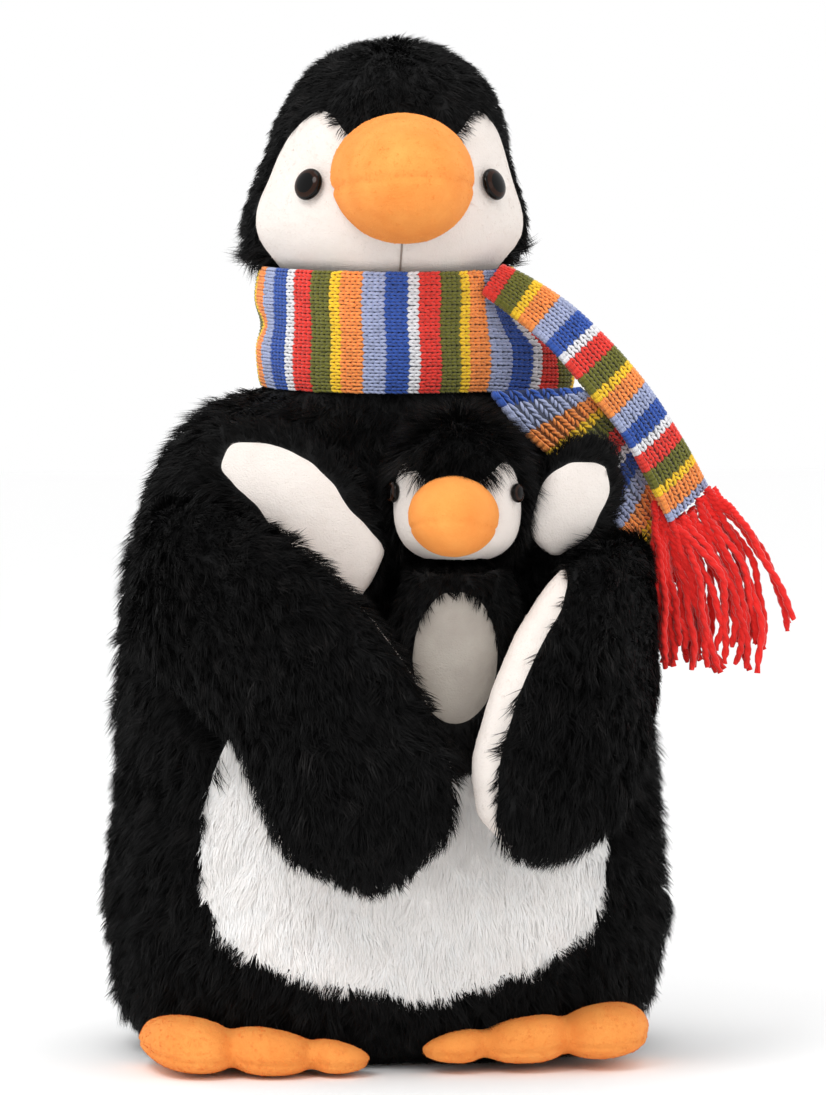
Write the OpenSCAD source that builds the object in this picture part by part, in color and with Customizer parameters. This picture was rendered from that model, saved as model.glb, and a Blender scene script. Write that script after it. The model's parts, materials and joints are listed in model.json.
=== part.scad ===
// Plush penguin that hugs a small penguin chick and wears a striped knitted scarf.
// All lengths are in mm. The front of the toy is -Y, up is +Z, the floor is z = 0.
// Each sewn panel is a thin curved solid and each filled part has its own stuffing solid.

/* [Fabric] */
// thickness of the pile fabric of the parent panels
fabric = 2.0; // [1.2:0.1:2.2]
// gap left along the seams between two panels
seam_gap = 0.3; // [0.2:0.1:0.8]
// thickness of the short pile fabric of beaks, feet and linings
short_fabric = 1.4; // [1.0:0.1:1.6]

/* [Head] */
// reach of the beak tip in front of the head axis
beak_reach = 108; // [100:1:109]
// half width of the beak
beak_half_w = 28.5; // [24:0.5:28.5]
// half height of the beak
beak_half_h = 26; // [21:0.5:26]
// diameter of the safety eyes
eye_d = 11.5; // [10:0.5:12]
// diameter of the stem of a safety eye
eye_stem_d = 3.2; // [2.8:0.2:4]

/* [Flippers] */
// half thickness of the stuffed flippers
flipper_half_t = 13.5; // [11:0.5:13.5]
// half thickness of a flipper at its shoulder seam
shoulder_half_t = 4.5; // [3.5:0.5:4.5]

/* [Feet] */
// height of the large outer toe
foot_h = 24; // [20:1:26]
// depth of the creases between the toes
toe_crease = 0.30; // [0.1:0.05:0.4]

/* [Scarf] */
// thickness of the knitted neck wrap
wrap_t = 6; // [5:0.5:6]
// half thickness of the folded tails
tail_half_t = 3; // [2.5:0.25:3.25]
// diameter of one fringe strand
strand_d = 3.0; // [2.4:0.2:3.2]

/* [Chick] */
// length of the chick beak in front of its face
chick_beak_l = 27; // [22:1:28]
// diameter of the chick eyes
chick_eye_d = 7; // [6:0.5:7.5]
// half thickness of the chick flippers
chick_flipper_half_t = 6; // [4.5:0.5:6]

/* [Hidden] */

black = [0.05, 0.05, 0.06];
white = [0.94, 0.92, 0.89];
orange = [0.96, 0.58, 0.15];
filling = [0.97, 0.97, 0.95];
yarn_red = [0.85, 0.14, 0.12];
knit = [0.55, 0.58, 0.72];

// ---------- helpers ----------

function mix(a, b, t) = a + (b - a) * t;
function clamp01(t) = min(1, max(0, t));
function unit(v) = v / max(1e-9, norm(v));
function spow(v, e) = sign(v) * pow(abs(v), e);

// smooth curve through the rows [t, value, value, ...]
function row_of(rows, t, i = 0) =
  (i >= len(rows) - 2 || t < rows[i + 1][0]) ? i : row_of(rows, t, i + 1);
function slope(rows, i, k) =
  let (a = max(i - 1, 0), b = min(i + 1, len(rows) - 1))
  (rows[b][k] - rows[a][k]) / (rows[b][0] - rows[a][0]);
function curve(rows, t, k) =
  let (i = row_of(rows, t), h = rows[i + 1][0] - rows[i][0])
  let (s = clamp01((t - rows[i][0]) / h), s2 = s * s, s3 = s * s * s)
  (2 * s3 - 3 * s2 + 1) * rows[i][k] + (s3 - 2 * s2 + s) * h * slope(rows, i, k)
  + (3 * s2 - 2 * s3) * rows[i + 1][k] + (s3 - s2) * h * slope(rows, i + 1, k);

// signed volume of a triangle list, used to turn every face outwards
function six_vol(p, f) = [for (t = f) p[t[0]] * cross(p[t[1]], p[t[2]])] * [for (t = f) 1];
function outward(p, f) = six_vol(p, f) > 0 ? [for (t = f) [t[2], t[1], t[0]]] : f;
function real_faces(f) = [for (t = f) if (t[0] != t[1] && t[1] != t[2] && t[0] != t[2]) t];
function quad(a, b, c, d) = [[a, b, c], [a, c, d]];

// panel between the surface surf(u, v, 0) and the surface surf(u, v, t), u and v in 0..1
// around: u closes on itself. pole0, pole1: the row v = 0 or v = 1 is one point.
module panel(surf, nu, nv, t, around = false, pole0 = false, pole1 = false) {
  n = (nu + 1) * (nv + 1);
  pts = [for (s = [0, 1], j = [0:nv], i = [0:nu]) surf(i / nu, j / nv, s * t)];
  at = function(i, j, s)
    s * n + j * (nu + 1) + ((j == 0 && pole0) || (j == nv && pole1) ? 0 : around ? i % nu : i);
  skin = [for (s = [0, 1], j = [0:nv - 1], i = [0:nu - 1])
    each s == 0 ? quad(at(i, j, s), at(i + 1, j, s), at(i + 1, j + 1, s), at(i, j + 1, s))
                : quad(at(i, j + 1, s), at(i + 1, j + 1, s), at(i + 1, j, s), at(i, j, s))];
  rim0 = pole0 ? [] : [for (i = [0:nu - 1])
    each quad(at(i + 1, 0, 0), at(i, 0, 0), at(i, 0, 1), at(i + 1, 0, 1))];
  rim1 = pole1 ? [] : [for (i = [0:nu - 1])
    each quad(at(i, nv, 0), at(i + 1, nv, 0), at(i + 1, nv, 1), at(i, nv, 1))];
  side = around ? [] : [for (j = [0:nv - 1])
    each concat(quad(at(0, j, 0), at(0, j + 1, 0), at(0, j + 1, 1), at(0, j, 1)),
      quad(at(nu, j + 1, 0), at(nu, j, 0), at(nu, j, 1), at(nu, j + 1, 1)))];
  faces = real_faces(concat(skin, rim0, rim1, side));
  polyhedron(pts, outward(pts, faces), convexity = 6);
}

// closed solid with rings surf(u, v, d); an end that is not a pole gets a fan
module pod(surf, nu, nv, d, pole0 = true, pole1 = true) {
  grid = [for (j = [0:nv], i = [0:nu - 1]) surf(i / nu, j / nv, d)];
  ends = [for (j = [0, nv]) [for (i = [0:nu - 1]) 1 / nu] * [for (i = [0:nu - 1]) grid[j * nu + i]]];
  pts = concat(grid, ends);
  c0 = nu * (nv + 1);
  at = function(i, j) j == 0 && pole0 ? c0 : j == nv && pole1 ? c0 + 1 : j * nu + i % nu;
  skin = [for (j = [0:nv - 1], i = [0:nu - 1])
    each quad(at(i, j), at(i + 1, j), at(i + 1, j + 1), at(i, j + 1))];
  fan0 = pole0 ? [] : [for (i = [0:nu - 1]) [at(i + 1, 0), at(i, 0), c0]];
  fan1 = pole1 ? [] : [for (i = [0:nu - 1]) [at(i, nv), at(i + 1, nv), c0 + 1]];
  faces = real_faces(concat(skin, fan0, fan1));
  polyhedron(pts, outward(pts, faces), convexity = 6);
}

// ---------- body ----------

// z, half width, front depth, back depth, roundness
body_rows = [[0, 95, 64, 58, 0.83], [10, 99, 72, 66, 0.83], [25, 105.5, 79, 73, 0.83],
  [41, 108.5, 83, 77, 0.83], [80, 107.5, 84, 80, 0.83], [124, 103.5, 81, 80, 0.83],
  [151, 104.5, 77, 79, 0.83], [182, 102.5, 71, 77, 0.84], [200, 100, 67, 74, 0.85],
  [222, 94, 62, 69, 0.87], [240, 84, 58, 64, 0.9], [252, 74, 55, 59, 0.93],
  [259.5, 64, 53, 53, 0.96], [264.5, 45, 49.2, 41.2, 1], [274, 44, 48.5, 40.5, 1],
  [300.5, 44, 48.5, 40.5, 1]];
body_z = [0.6, 6, 14, 26, 28, 31.5, 38, 50, 66, 84, 102, 120, 138, 155, 172, 186, 194,
  198, 210, 222, 233, 243, 250, 256, 260.5, 264.5, 276, 300.5];
belly_from = 3;
belly_to = 14;
// half width of the white belly patch against z
belly_rows = [[26, 3], [28, 24], [31.5, 43], [38, 59], [50, 72], [66, 78.5], [84, 80.5],
  [102, 79], [120, 75], [138, 65], [155, 43], [172, 3]];

// a is the angle from the front, positive to +X
body_at = function(a, z, d)
  let (w = curve(body_rows, z, 1) - d, f = curve(body_rows, z, 2) - d)
  let (b = curve(body_rows, z, 3) - d, e = curve(body_rows, z, 4))
  [w * spow(sin(a), e), cos(a) > 0 ? -f * spow(cos(a), e) : -b * spow(cos(a), e), z];
belly_angle = function(z)
  z < 25 || z > 173 ? 0.1
  : asin(pow(max(0.2, curve(belly_rows, z, 1)) / curve(body_rows, z, 1), 1 / 0.83));
body_n = len(body_z) - 1;
seam_a = seam_gap * 0.35;

module front_panel(s)
  color(black)
  panel(function(u, v, d) let (z = body_z[round(v * body_n)])
    body_at(s * mix(belly_angle(z) + seam_a, 90, u), z, d), 6, body_n, fabric);

module back_panel(s)
  color(black)
  panel(function(u, v, d) let (z = body_z[round(v * body_n)])
    body_at(s * mix(90 + seam_a, 180 - seam_a, u), z, d), 6, body_n, fabric);

module belly_panel()
  color(white)
  panel(function(u, v, d) let (z = body_z[belly_from + round(v * (belly_to - belly_from))])
    body_at(mix(-1, 1, u) * (belly_angle(z) - seam_a / 2 * (z > 30 && z < 165 ? 1 : 0)), z, d),
    8, belly_to - belly_from, fabric);

// flat bottom that the toy rests on
module base_panel()
  color(black)
  linear_extrude(2)
  polygon([for (i = [0:35]) let (p = body_at(i * 10, 0.6, fabric + 1)) [p[0], p[1]]]);

module body_stuffing()
  color(filling)
  pod(function(u, v, d) let (z = max(2.4, body_z[round(v * body_n)]))
    body_at(360 * u, z, d), 20, body_n, fabric + 2.4, false, false);

// ---------- feet ----------

body_front = function(x, z)
  let (w = curve(body_rows, z, 1), n = 1 / 0.83 * 2)
  -curve(body_rows, z, 2) * pow(max(0, 1 - pow(min(1, abs(x) / w), n)), 1 / n);

// toe lobes across the foot, v = 0 at the inner end, 1 at the outer end
toe_lobe = function(v) let (w = v * 18, a = w < 5 ? w / 5 : w < 11 ? (w - 5) / 6 : (w - 11) / 7)
  1 - toe_crease * pow(abs(2 * a - 1), 3);
foot_end = function(v) pow(max(0, 1 - pow(abs(2 * v - 1), 4)), 0.5);
// inner x, outer x, lift above the floor, toe reach
foot_sizes = [[-14, -105, 0.6, 0], [2, 99, 3.5, 4]];

foot_at = function(k, u, v, d)
  let (x0 = foot_sizes[k][0], x1 = foot_sizes[k][1], sx = sign(x1 - x0))
  let (x = mix(x0 + sx * 2 * d, x1 - sx * 2 * d, v), t = (x - x0) / (x1 - x0))
  let (reach = mix(-98, -97, t) + foot_sizes[k][3])
  let (back = min(-22, body_front(x, 14) - 1), lobe = toe_lobe(t), e = foot_end(t))
  let (front = reach + (1 - lobe) * 30, yc = (back + front) / 2, hy = (back - front) / 2 * e)
  let (h = mix(foot_h * 0.5, foot_h * 1.05, t), dip = (1 - lobe) / toe_crease)
  let (low = h * 0.4, zc = foot_sizes[k][2] + low, up = sin(360 * u) >= 0)
  let (hz = (up ? (h - low) * (1 - 0.32 * dip) : low * (1 - 0.4 * dip)) * e)
  [x, yc + (hy - d) * spow(cos(360 * u), 0.8), zc + (hz - d) * spow(sin(360 * u), 0.8)];

module foot_top(k)
  color(orange)
  panel(function(u, v, d) foot_at(k, mix(-0.03, 0.53, u), v, d), 8, 18, short_fabric,
    false, true, true);

module foot_sole(k)
  color(orange)
  panel(function(u, v, d) foot_at(k, mix(0.963, 0.537, u), v, d), 6, 18, short_fabric,
    false, true, true);

module foot_stuffing(k)
  color(filling)
  pod(function(u, v, d) foot_at(k, u, v, d), 10, 24, short_fabric + 1.9);

// ---------- head ----------

// z, half width, front depth, back depth
head_rows = [[301.5, 34, 38, 30], [306, 41, 45, 37.5], [311, 44, 48.2, 40],
  [315, 44.6, 48.6, 40.6], [319, 51, 54, 49], [326, 56, 57, 55], [334, 56, 58, 58],
  [343, 52.5, 57, 60], [352, 49, 55, 60], [364, 46, 52, 58], [375, 43, 47.5, 54.5],
  [384, 38.5, 42, 49], [391, 32.5, 36, 42], [396.5, 25, 28, 33], [400.3, 16.5, 18, 22],
  [402.6, 8, 9, 10], [403.4, 0.6, 0.7, 0.8]];
// the top of the head leans a little towards the toy's left
head_lean = [[301, 0], [345, 0], [375, 2], [404, 3]];
head_top = 403.4;
head_mid = [0, -1, 350];
head_at = function(a, z, d)
  let (p = [curve(head_rows, z, 1) * sin(a) + curve(head_lean, z, 1),
    -curve(head_rows, z, cos(a) > 0 ? 2 : 3) * cos(a), z])
  head_mid + (p - head_mid) * (1 - d / 50);

// angles shared by the face and the crown, and the top edge of the white face
face_a = [0.15, 10, 20, 30, 40, 50, 60, 68, 72, 74.7];
face_rows = [[0, 356], [15, 358.5], [26, 363], [38, 373], [48, 375], [60, 370],
  [68, 364], [72, 358], [75, 337]];
crown_a = [0.15, 10, 20, 30, 40, 50, 60, 68, 72, 75, 75.1, 90, 108, 126, 144, 162, 179.85];
crown_from = function(a) a > 75.05 ? 301.5 : curve(face_rows, a, 1);
head_z = [301.5, 306, 311, 315, 319, 326, 335, 346, 358, 370, 382, 391.5, 399, 403.4];
head_n = len(head_z) - 1;
head_step = function(v, z0) mix(z0, head_top, (head_z[round(v * head_n)] - 301.5) / (head_top - 301.5));

eye_spot = [[-33.3, -41.4, 348.6], [35.3, -39.5, 348.6]];
eye_turn = [-45, 46];

module at_eye(k)
  translate(eye_spot[k]) rotate([0, 0, eye_turn[k]]) rotate([73, 0, 0]) children();

module face_half(s)
  color(white)
  difference() {
    panel(function(u, v, d) let (a = face_a[round(u * 9)])
      head_at(s * a, mix(301.5, max(302, crown_from(a) - seam_gap), v), d), 9, 7, fabric);
    at_eye(s > 0 ? 1 : 0)
      translate([0, 0, -12]) cylinder(d = eye_stem_d + 0.6, h = 16, $fn = 12);
  }

module crown_half(s)
  color(black)
  panel(function(u, v, d) let (a = crown_a[round(u * 16)])
    head_at(s * a, head_step(v, crown_from(a)), d), 16, head_n, fabric);

module head_stuffing()
  color(filling)
  difference() {
    pod(function(u, v, d) head_at(360 * u, head_step(v, 302), d),
      24, head_n, fabric + 1.8, false, true);
    for (k = [0, 1])
      at_eye(k) translate([0, 0, -12]) cylinder(d = eye_d + 3, h = 24, $fn = 16);
  }

// front of the head at (x, z)
head_front = function(x, z)
  let (s = min(1, abs(x - curve(head_lean, z, 1)) / curve(head_rows, z, 1)))
  -curve(head_rows, z, 2) * sqrt(1 - s * s);
beak_mid = [0, -62, 347.6];
beak_ring = function(a, r) [beak_half_w * cos(a) * r, 0, beak_mid[2] + beak_half_h * sin(a) * r];
beak_dome = function(a, t, d)
  let (p = beak_ring(a, 1), y0 = head_front(p[0], p[2]) - 0.5, r = pow(cos(90 * t), 0.85))
  let (q = [p[0] * r, mix(y0, -beak_reach, sin(90 * t)), beak_mid[2] + (p[2] - beak_mid[2]) * r])
  beak_mid + (q - beak_mid) * (1 - d / 24.5);
beak_split = function(t) mix(-10, 0, t);

module beak_upper()
  color(orange)
  panel(function(u, v, d) let (m = beak_split(v) + seam_gap)
    beak_dome(mix(m, 180 - m, u), v, d), 12, 8, short_fabric, false, false, true);

module beak_lower()
  color(orange)
  panel(function(u, v, d) let (m = beak_split(v) - seam_gap)
    beak_dome(mix(180 - m, 360 + m, u), v * 0.995, d), 10, 8, short_fabric, false, false, true);

module beak_stuffing()
  color(filling)
  pod(function(u, v, d) let (p = beak_ring(360 * u, v * 1.84 * (1 - d / 24.5)))
    v < 0.5 ? [p[0], head_front(p[0], p[2]) - 1.2, p[2]]
            : beak_dome(360 * u, (v - 0.5) * 2 * 0.96 + 0.04, d),
    16, 12, short_fabric + 0.4);

// safety eye: polished dome with a stem that ends inside the head
module eye(k)
  color([0.02, 0.015, 0.012])
  at_eye(k) {
    intersection() {
      translate([0, 0, 0.6 + 4.6 - eye_d * 0.6]) sphere(d = eye_d * 1.2, $fn = 24);
      translate([0, 0, 0.6]) cylinder(d = eye_d, h = 8, $fn = 24);
    }
    translate([0, 0, -9]) cylinder(d = eye_stem_d, h = 10, $fn = 12);
  }

module eye_washer(k)
  color([0.85, 0.85, 0.82])
  at_eye(k)
  translate([0, 0, -4.2])
  difference() {
    cylinder(d = eye_d + 1.5, h = 1.2, $fn = 20);
    translate([0, 0, -1]) cylinder(d = eye_stem_d + 0.4, h = 4, $fn = 12);
  }

// ---------- parent flippers ----------

// t, x, y, z, angle of the outer face from the front, tilt of that face,
// half width, half thickness share
flipper_right_rows = [
  [0, -100.5, -44, 190, -58, 0.2, 29, 0], [0.22, -84, -70, 189, -46, 0.0, 36, 0.75],
  [0.45, -56, -97, 169, -30, -0.2, 40, 1], [0.68, -31.5, -115, 136, -20, -0.3, 39, 1],
  [0.86, -20, -118, 99, -14, -0.2, 37, 1], [1, -16, -116, 77, -12, -0.1, 26, 0.8]];
flipper_left_rows = [
  [0, 101, -44, 173, 58, 0.12, 28, 0], [0.2, 90, -69.4, 175, 48, 0.05, 35.2, 0.75],
  [0.42, 71.2, -99.2, 165, 38, 0, 39.6, 1], [0.65, 56.4, -116.2, 141, 32, 0, 39, 1],
  [0.85, 46.5, -117.4, 107, 28, 0, 36, 1], [1, 43, -115, 86, 26, 0, 21, 0.8]];

flipper_spine = function(rows, t) [for (k = [1:3]) curve(rows, t, k)];
flipper_axes = function(rows, t)
  let (a = curve(rows, t, 4), n0 = unit([sin(a), -cos(a), curve(rows, t, 5)]))
  let (q = flipper_spine(rows, min(1, t + 0.02)) - flipper_spine(rows, max(0, t - 0.02)))
  let (w = unit(cross(n0, q)), n = unit(cross(q, w)))
  [w, n];
// v runs from the shoulder to the tip, u around the section, outer face at u = 0..0.5
flipper_at = function(rows, u, v, d)
  let (t = mix(0, 1, v), ax = flipper_axes(rows, t), end = v > 0.8 ? (v - 0.8) / 0.2 : 0)
  let (round_off = sqrt(max(0, 1 - end * end * 0.9)))
  let (hw = curve(rows, t, 6) * (end > 0 ? round_off : 1) - d)
  let (ht = mix(shoulder_half_t, flipper_half_t, curve(rows, t, 7)) * round_off - d * 0.9)
  flipper_spine(rows, t) + ax[0] * hw * spow(cos(360 * u), 0.9)
  + ax[1] * ht * spow(sin(360 * u), 0.9);

// where the outer panel ends around the section; the left lining turns over the inner edge
outer_edge = function(v) 0.495;
turned_edge = function(v) mix(0.495, 0.40, clamp01((v - 0.15) / 0.25));

module flipper_outer(rows, edge)
  color(black)
  panel(function(u, v, d) flipper_at(rows, mix(0.005, edge(v), u), v, d), 10, 9, fabric);

module flipper_lining(rows, edge)
  color(white)
  panel(function(u, v, d) flipper_at(rows, mix(edge(v) + 0.01, 0.995, u), v, d), 10, 9,
    short_fabric);

module flipper_stuffing(rows)
  color(filling)
  pod(function(u, v, d) flipper_at(rows, u, mix(0.03, 0.98, v), d), 18, 9, fabric + 1.3,
    false, false);

// ---------- scarf ----------

wrap_r = 53;
wrap_mid_y = -4;
wrap_low = 266;
wrap_high = 313.6;

// the side loop bulges out at the toy's left, where the tails pass through it
wrap_bulge = function(a, z)
  25 * exp(-pow((a - 76) / 20, 2)) * clamp01((300 - z) / 16);

module scarf_wrap()
  color(knit)
  panel(function(u, v, d) let (a = 360 * u - 120)
    let (z = mix(wrap_low, wrap_high, v) - 2.2 * max(0, cos(a)))
    let (soft = d > 0 ? 0 : 1.2 * sin(180 * v) - 1.2 + wrap_bulge(a, z))
    let (r = wrap_r - (d > 0 ? wrap_t : 0) + soft)
    [r * sin(a), wrap_mid_y - r * cos(a), z], 34, 5, 1, true);

// t, x, y, z, angle of the face from the front, half width, half thickness share
tail_front_rows = [[0, 50, -42, 307, 32, 10.5, 0.9], [0.25, 67, -52, 288, 30, 12, 1],
  [0.5, 86, -52, 264, 34, 12, 1], [0.75, 101, -46, 242, 38, 12, 1],
  [1, 116, -40, 220, 40, 12, 1]];
tail_back_rows = [[0, 50, -61, 263, 20, 12, 1], [0.3, 67, -53.5, 249, 34, 12.5, 1],
  [0.6, 86, -42, 228, 48, 13, 1], [0.85, 101, -31, 209, 60, 13, 1],
  [1, 106, -26, 199.5, 64, 13, 1]];
tail_spine = function(rows, t) [for (k = [1:3]) curve(rows, t, k)];
tail_at = function(rows, u, v)
  let (a = curve(rows, v, 4), n0 = [sin(a), -cos(a), 0])
  let (q = tail_spine(rows, min(1, v + 0.02)) - tail_spine(rows, max(0, v - 0.02)))
  let (w = unit(cross(n0, q)), n = unit(cross(q, w)), hw = curve(rows, v, 5))
  tail_spine(rows, v) + w * hw * spow(cos(360 * u), 0.7)
  + n * tail_half_t * curve(rows, v, 6) * spow(sin(360 * u), 0.7);

module scarf_tail(rows)
  color(knit)
  pod(function(u, v, d) tail_at(rows, u, v), 12, 11, 0, false, false);

// one strand along a bent line from p to q, leaning out by bend
module strand(p, q, bend)
  pod(function(u, v, d) let (t = unit(q - p), w = unit(cross(t, [0, 1, 0])), n = cross(t, w))
    let (r = strand_d / 2 * (v < 1 ? 1 : 0.7))
    mix(p, q, v) + bend * sin(180 * v) + (w * cos(360 * u) + n * sin(360 * u)) * r,
    6, 3, 0, false, false);

// hem bar where the strands are tied in, then the strands
module fringe(a, b, ends, bends)
  color(yarn_red)
  union() {
    strand(a, b, [0, 0, 0]);
    for (i = [0:len(ends) - 1]) {
      f = i / (len(ends) - 1);
      strand(mix(a, b, mix(0.06, 0.94, f)), ends[i], bends[i % len(bends)]);
    }
  }

fringe_front_ends = [[108, -34, 172], [113, -38, 163], [118, -34, 152], [124, -38, 158],
  [130, -34, 150], [135, -38, 161], [141, -34, 156], [147, -38, 170], [153, -34, 178],
  [158, -38, 184]];
fringe_bends = [[-2, 1, -1], [2, -1, 1], [3, 1, 2], [1, -1, 2]];

module scarf_fringe_front() fringe([108.5, -42, 210], [128.5, -37.5, 221],
  fringe_front_ends, fringe_bends);

fringe_back_ends = [[106, -22, 172], [110, -25, 166], [114, -21, 160], [118, -24, 164],
  [122, -20, 162]];

module scarf_fringe_back() fringe([104.5, -28, 193], [116, -15, 199.5],
  fringe_back_ends, [[-1, 0, 0], [1, 0, 1]]);

// ---------- chick ----------

chick_x = 16;
chick_y = -98.5;
// z, half width, front depth, back depth
chick_rows = [[119.5, 0.5, 0.5, 0.5], [121, 8, 7, 8], [126.5, 14, 11, 11], [136.5, 19.5, 15, 15],
  [149.5, 22.5, 17.5, 17.5], [165.5, 23.5, 19.5, 19], [179.5, 22.5, 19, 19], [191.5, 20, 17.5, 17],
  [199.5, 17.5, 16, 15]];
chick_z = [119.7, 121.5, 125.5, 131.5, 139.5, 149.5, 159.5, 169.5, 179.5, 187.5, 193.5, 199.5];
chick_mid = [chick_x, chick_y, 161.5];
chick_at = function(a, z, d)
  let (w = curve(chick_rows, z, 1), f = curve(chick_rows, z, cos(a) > 0 ? 2 : 3))
  let (p = [chick_x + w * sin(a), chick_y - f * cos(a), z])
  chick_mid + (p - chick_mid) * (1 - d / 20);
chick_n = len(chick_z) - 1;

module chick_back_panel()
  color(black)
  panel(function(u, v, d) chick_at(mix(90.4, 269.6, u), chick_z[round(v * chick_n)], d),
    9, chick_n, short_fabric);

// the front panel runs from side seam to side seam and is notched around the patch
module chick_front_panel()
  color(black)
  difference() {
    panel(function(u, v, d) chick_at(mix(-89.6, 89.6, u), chick_z[round(v * chick_n)], d),
      14, chick_n, short_fabric);
    translate([chick_x - 2.5, chick_y - 8, 164.5])
      rotate([90, 0, 0]) scale([16.2, 25.8, 1]) cylinder(r = 1, h = 24, $fn = 28);
  }

module chick_belly_patch()
  color([0.75, 0.74, 0.72])
  intersection() {
    panel(function(u, v, d) chick_at(mix(-70, 60, u), mix(133.5, 192.5, v), d), 12, 8,
      short_fabric);
    translate([chick_x - 2.5, chick_y - 8, 164.5])
      rotate([90, 0, 0]) scale([15.9, 25.5, 1]) cylinder(r = 1, h = 24, $fn = 28);
  }

module chick_stuffing()
  color(filling)
  pod(function(u, v, d) chick_at(360 * u, mix(119.7, 199.1, v), d), 12, 12, short_fabric + 0.8,
    true, false);

// chick head, turned a little towards the toy's right
chick_head_c = [17, -94, 227.5];
chick_turn = -12;
// z above the head centre, half width, front depth, back depth
chick_head_rows = [[-27.3, 12, 12, 11], [-24, 19, 18, 17], [-16, 24.5, 23, 22],
  [-6, 25.5, 24, 24], [6, 24.5, 23.5, 24], [15, 21, 20.5, 22], [22, 15, 15, 17],
  [26.6, 7, 7.5, 8.5], [28, 0.5, 0.6, 0.6]];
chick_head_at = function(a, h, d)
  let (p = [curve(chick_head_rows, h, 1) * sin(a),
    -curve(chick_head_rows, h, cos(a) > 0 ? 2 : 3) * cos(a), h])
  p * (1 - d / 23);
chick_face_a = [-77.7, -71, -63, -51, -38, -25, -12, 0, 12, 25, 38, 51, 63, 71, 77.7];
chick_face_top = [[0, 2], [15, 3], [32, 6], [48, 11], [63, 11], [71, 6], [78, -7]];
chick_crown_a = [-180, -160, -140, -120, -100, -78.1, -78, -71, -63, -51, -38, -25, -12, 0,
  12, 25, 38, 51, 63, 71, 78, 78.1, 100, 120, 140, 160, 180];
chick_head_h = [-27.3, -24, -19, -12, -4, 4, 12, 19, 24.5, 28];
chick_head_step = function(v, h0)
  mix(h0, 27.9, (chick_head_h[round(v * 9)] + 27.3) / (28 + 27.3));

module in_chick_head() translate(chick_head_c) rotate([0, 0, chick_turn]) children();

chick_eye_spot = [[-21.9, -11.4, 0], [21.9, -11.4, 0]];
module at_chick_eye(k)
  in_chick_head()
  translate(chick_eye_spot[k]) rotate([0, 0, k == 0 ? -62 : 62]) rotate([86, 0, 0]) children();

module chick_face()
  color(white)
  difference() {
    in_chick_head()
      panel(function(u, v, d) let (a = chick_face_a[round(u * 14)])
        chick_head_at(a, mix(-27.3, max(-26.8, curve(chick_face_top, abs(a), 1) - seam_gap), v), d),
        14, 5, short_fabric);
    for (k = [0, 1])
      at_chick_eye(k) translate([0, 0, -8]) cylinder(d = 2.6, h = 12, $fn = 10);
  }

// hood of the chick: everything outside the face
module chick_crown()
  color(black)
  in_chick_head()
  panel(function(u, v, d) let (a = chick_crown_a[round(u * 26)])
    let (b = abs(a) < 78.05 ? curve(chick_face_top, abs(a), 1) : -27.3)
    chick_head_at(a, chick_head_step(v, b), d), 26, 9, short_fabric, true, false, true);

module chick_head_stuffing()
  color(filling)
  difference() {
    in_chick_head()
      pod(function(u, v, d) chick_head_at(360 * u, chick_head_step(v, -27.2), d),
        20, 9, short_fabric + 1.2, false, true);
    for (k = [0, 1])
      at_chick_eye(k) translate([0, 0, -8]) cylinder(d = chick_eye_d + 2.5, h = 12, $fn = 14);
  }

chick_front = function(x, h)
  -curve(chick_head_rows, h, 2) * sqrt(max(0, 1 - pow(x / curve(chick_head_rows, h, 1), 2)));
chick_beak_w = 18;
chick_beak_h = 16.2;
chick_beak_z = -9;
chick_beak_mid = [0, -29, chick_beak_z];
chick_beak_dome = function(a, t, d)
  let (x0 = chick_beak_w * cos(a), h0 = chick_beak_z + chick_beak_h * sin(a))
  let (y0 = chick_front(x0, h0) - 0.4, r = pow(cos(90 * t), 0.95))
  let (q = [x0 * r, mix(y0, -24 - chick_beak_l, sin(90 * t)), chick_beak_z + (h0 - chick_beak_z) * r])
  chick_beak_mid + (q - chick_beak_mid) * (1 - d / 15);

module chick_beak_upper()
  color(orange)
  in_chick_head()
  panel(function(u, v, d) let (m = mix(-20, -4, v) + 0.5)
    chick_beak_dome(mix(m, 180 - m, u), v, d), 9, 5, short_fabric, false, false, true);

module chick_beak_lower()
  color(orange)
  in_chick_head()
  panel(function(u, v, d) let (m = mix(-20, -4, v) - 0.5)
    chick_beak_dome(mix(180 - m, 360 + m, u), v * 0.99, d), 7, 5, short_fabric, false, false, true);

module chick_beak_stuffing()
  color(filling)
  in_chick_head()
  pod(function(u, v, d) let (r = v * 1.8 * (1 - d / 15))
    let (x = chick_beak_w * cos(360 * u) * r, h = chick_beak_z + chick_beak_h * sin(360 * u) * r)
    v < 0.5 ? [x, chick_front(x, h) - 1, h] : chick_beak_dome(360 * u, (v - 0.5) * 1.88 + 0.06, d),
    12, 8, short_fabric + 0.8);

module chick_eye(k)
  color([0.02, 0.015, 0.012])
  at_chick_eye(k) {
    intersection() {
      translate([0, 0, 0.5 + 2.8 - chick_eye_d * 0.6]) sphere(d = chick_eye_d * 1.2, $fn = 18);
      translate([0, 0, 0.5]) cylinder(d = chick_eye_d, h = 5, $fn = 18);
    }
    translate([0, 0, -6]) cylinder(d = 2, h = 7, $fn = 10);
  }

module chick_eye_washer(k)
  color([0.85, 0.85, 0.82])
  at_chick_eye(k)
  translate([0, 0, -3.4])
  difference() {
    cylinder(d = chick_eye_d + 1.2, h = 1, $fn = 16);
    translate([0, 0, -1]) cylinder(d = 2.5, h = 3, $fn = 10);
  }

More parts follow.
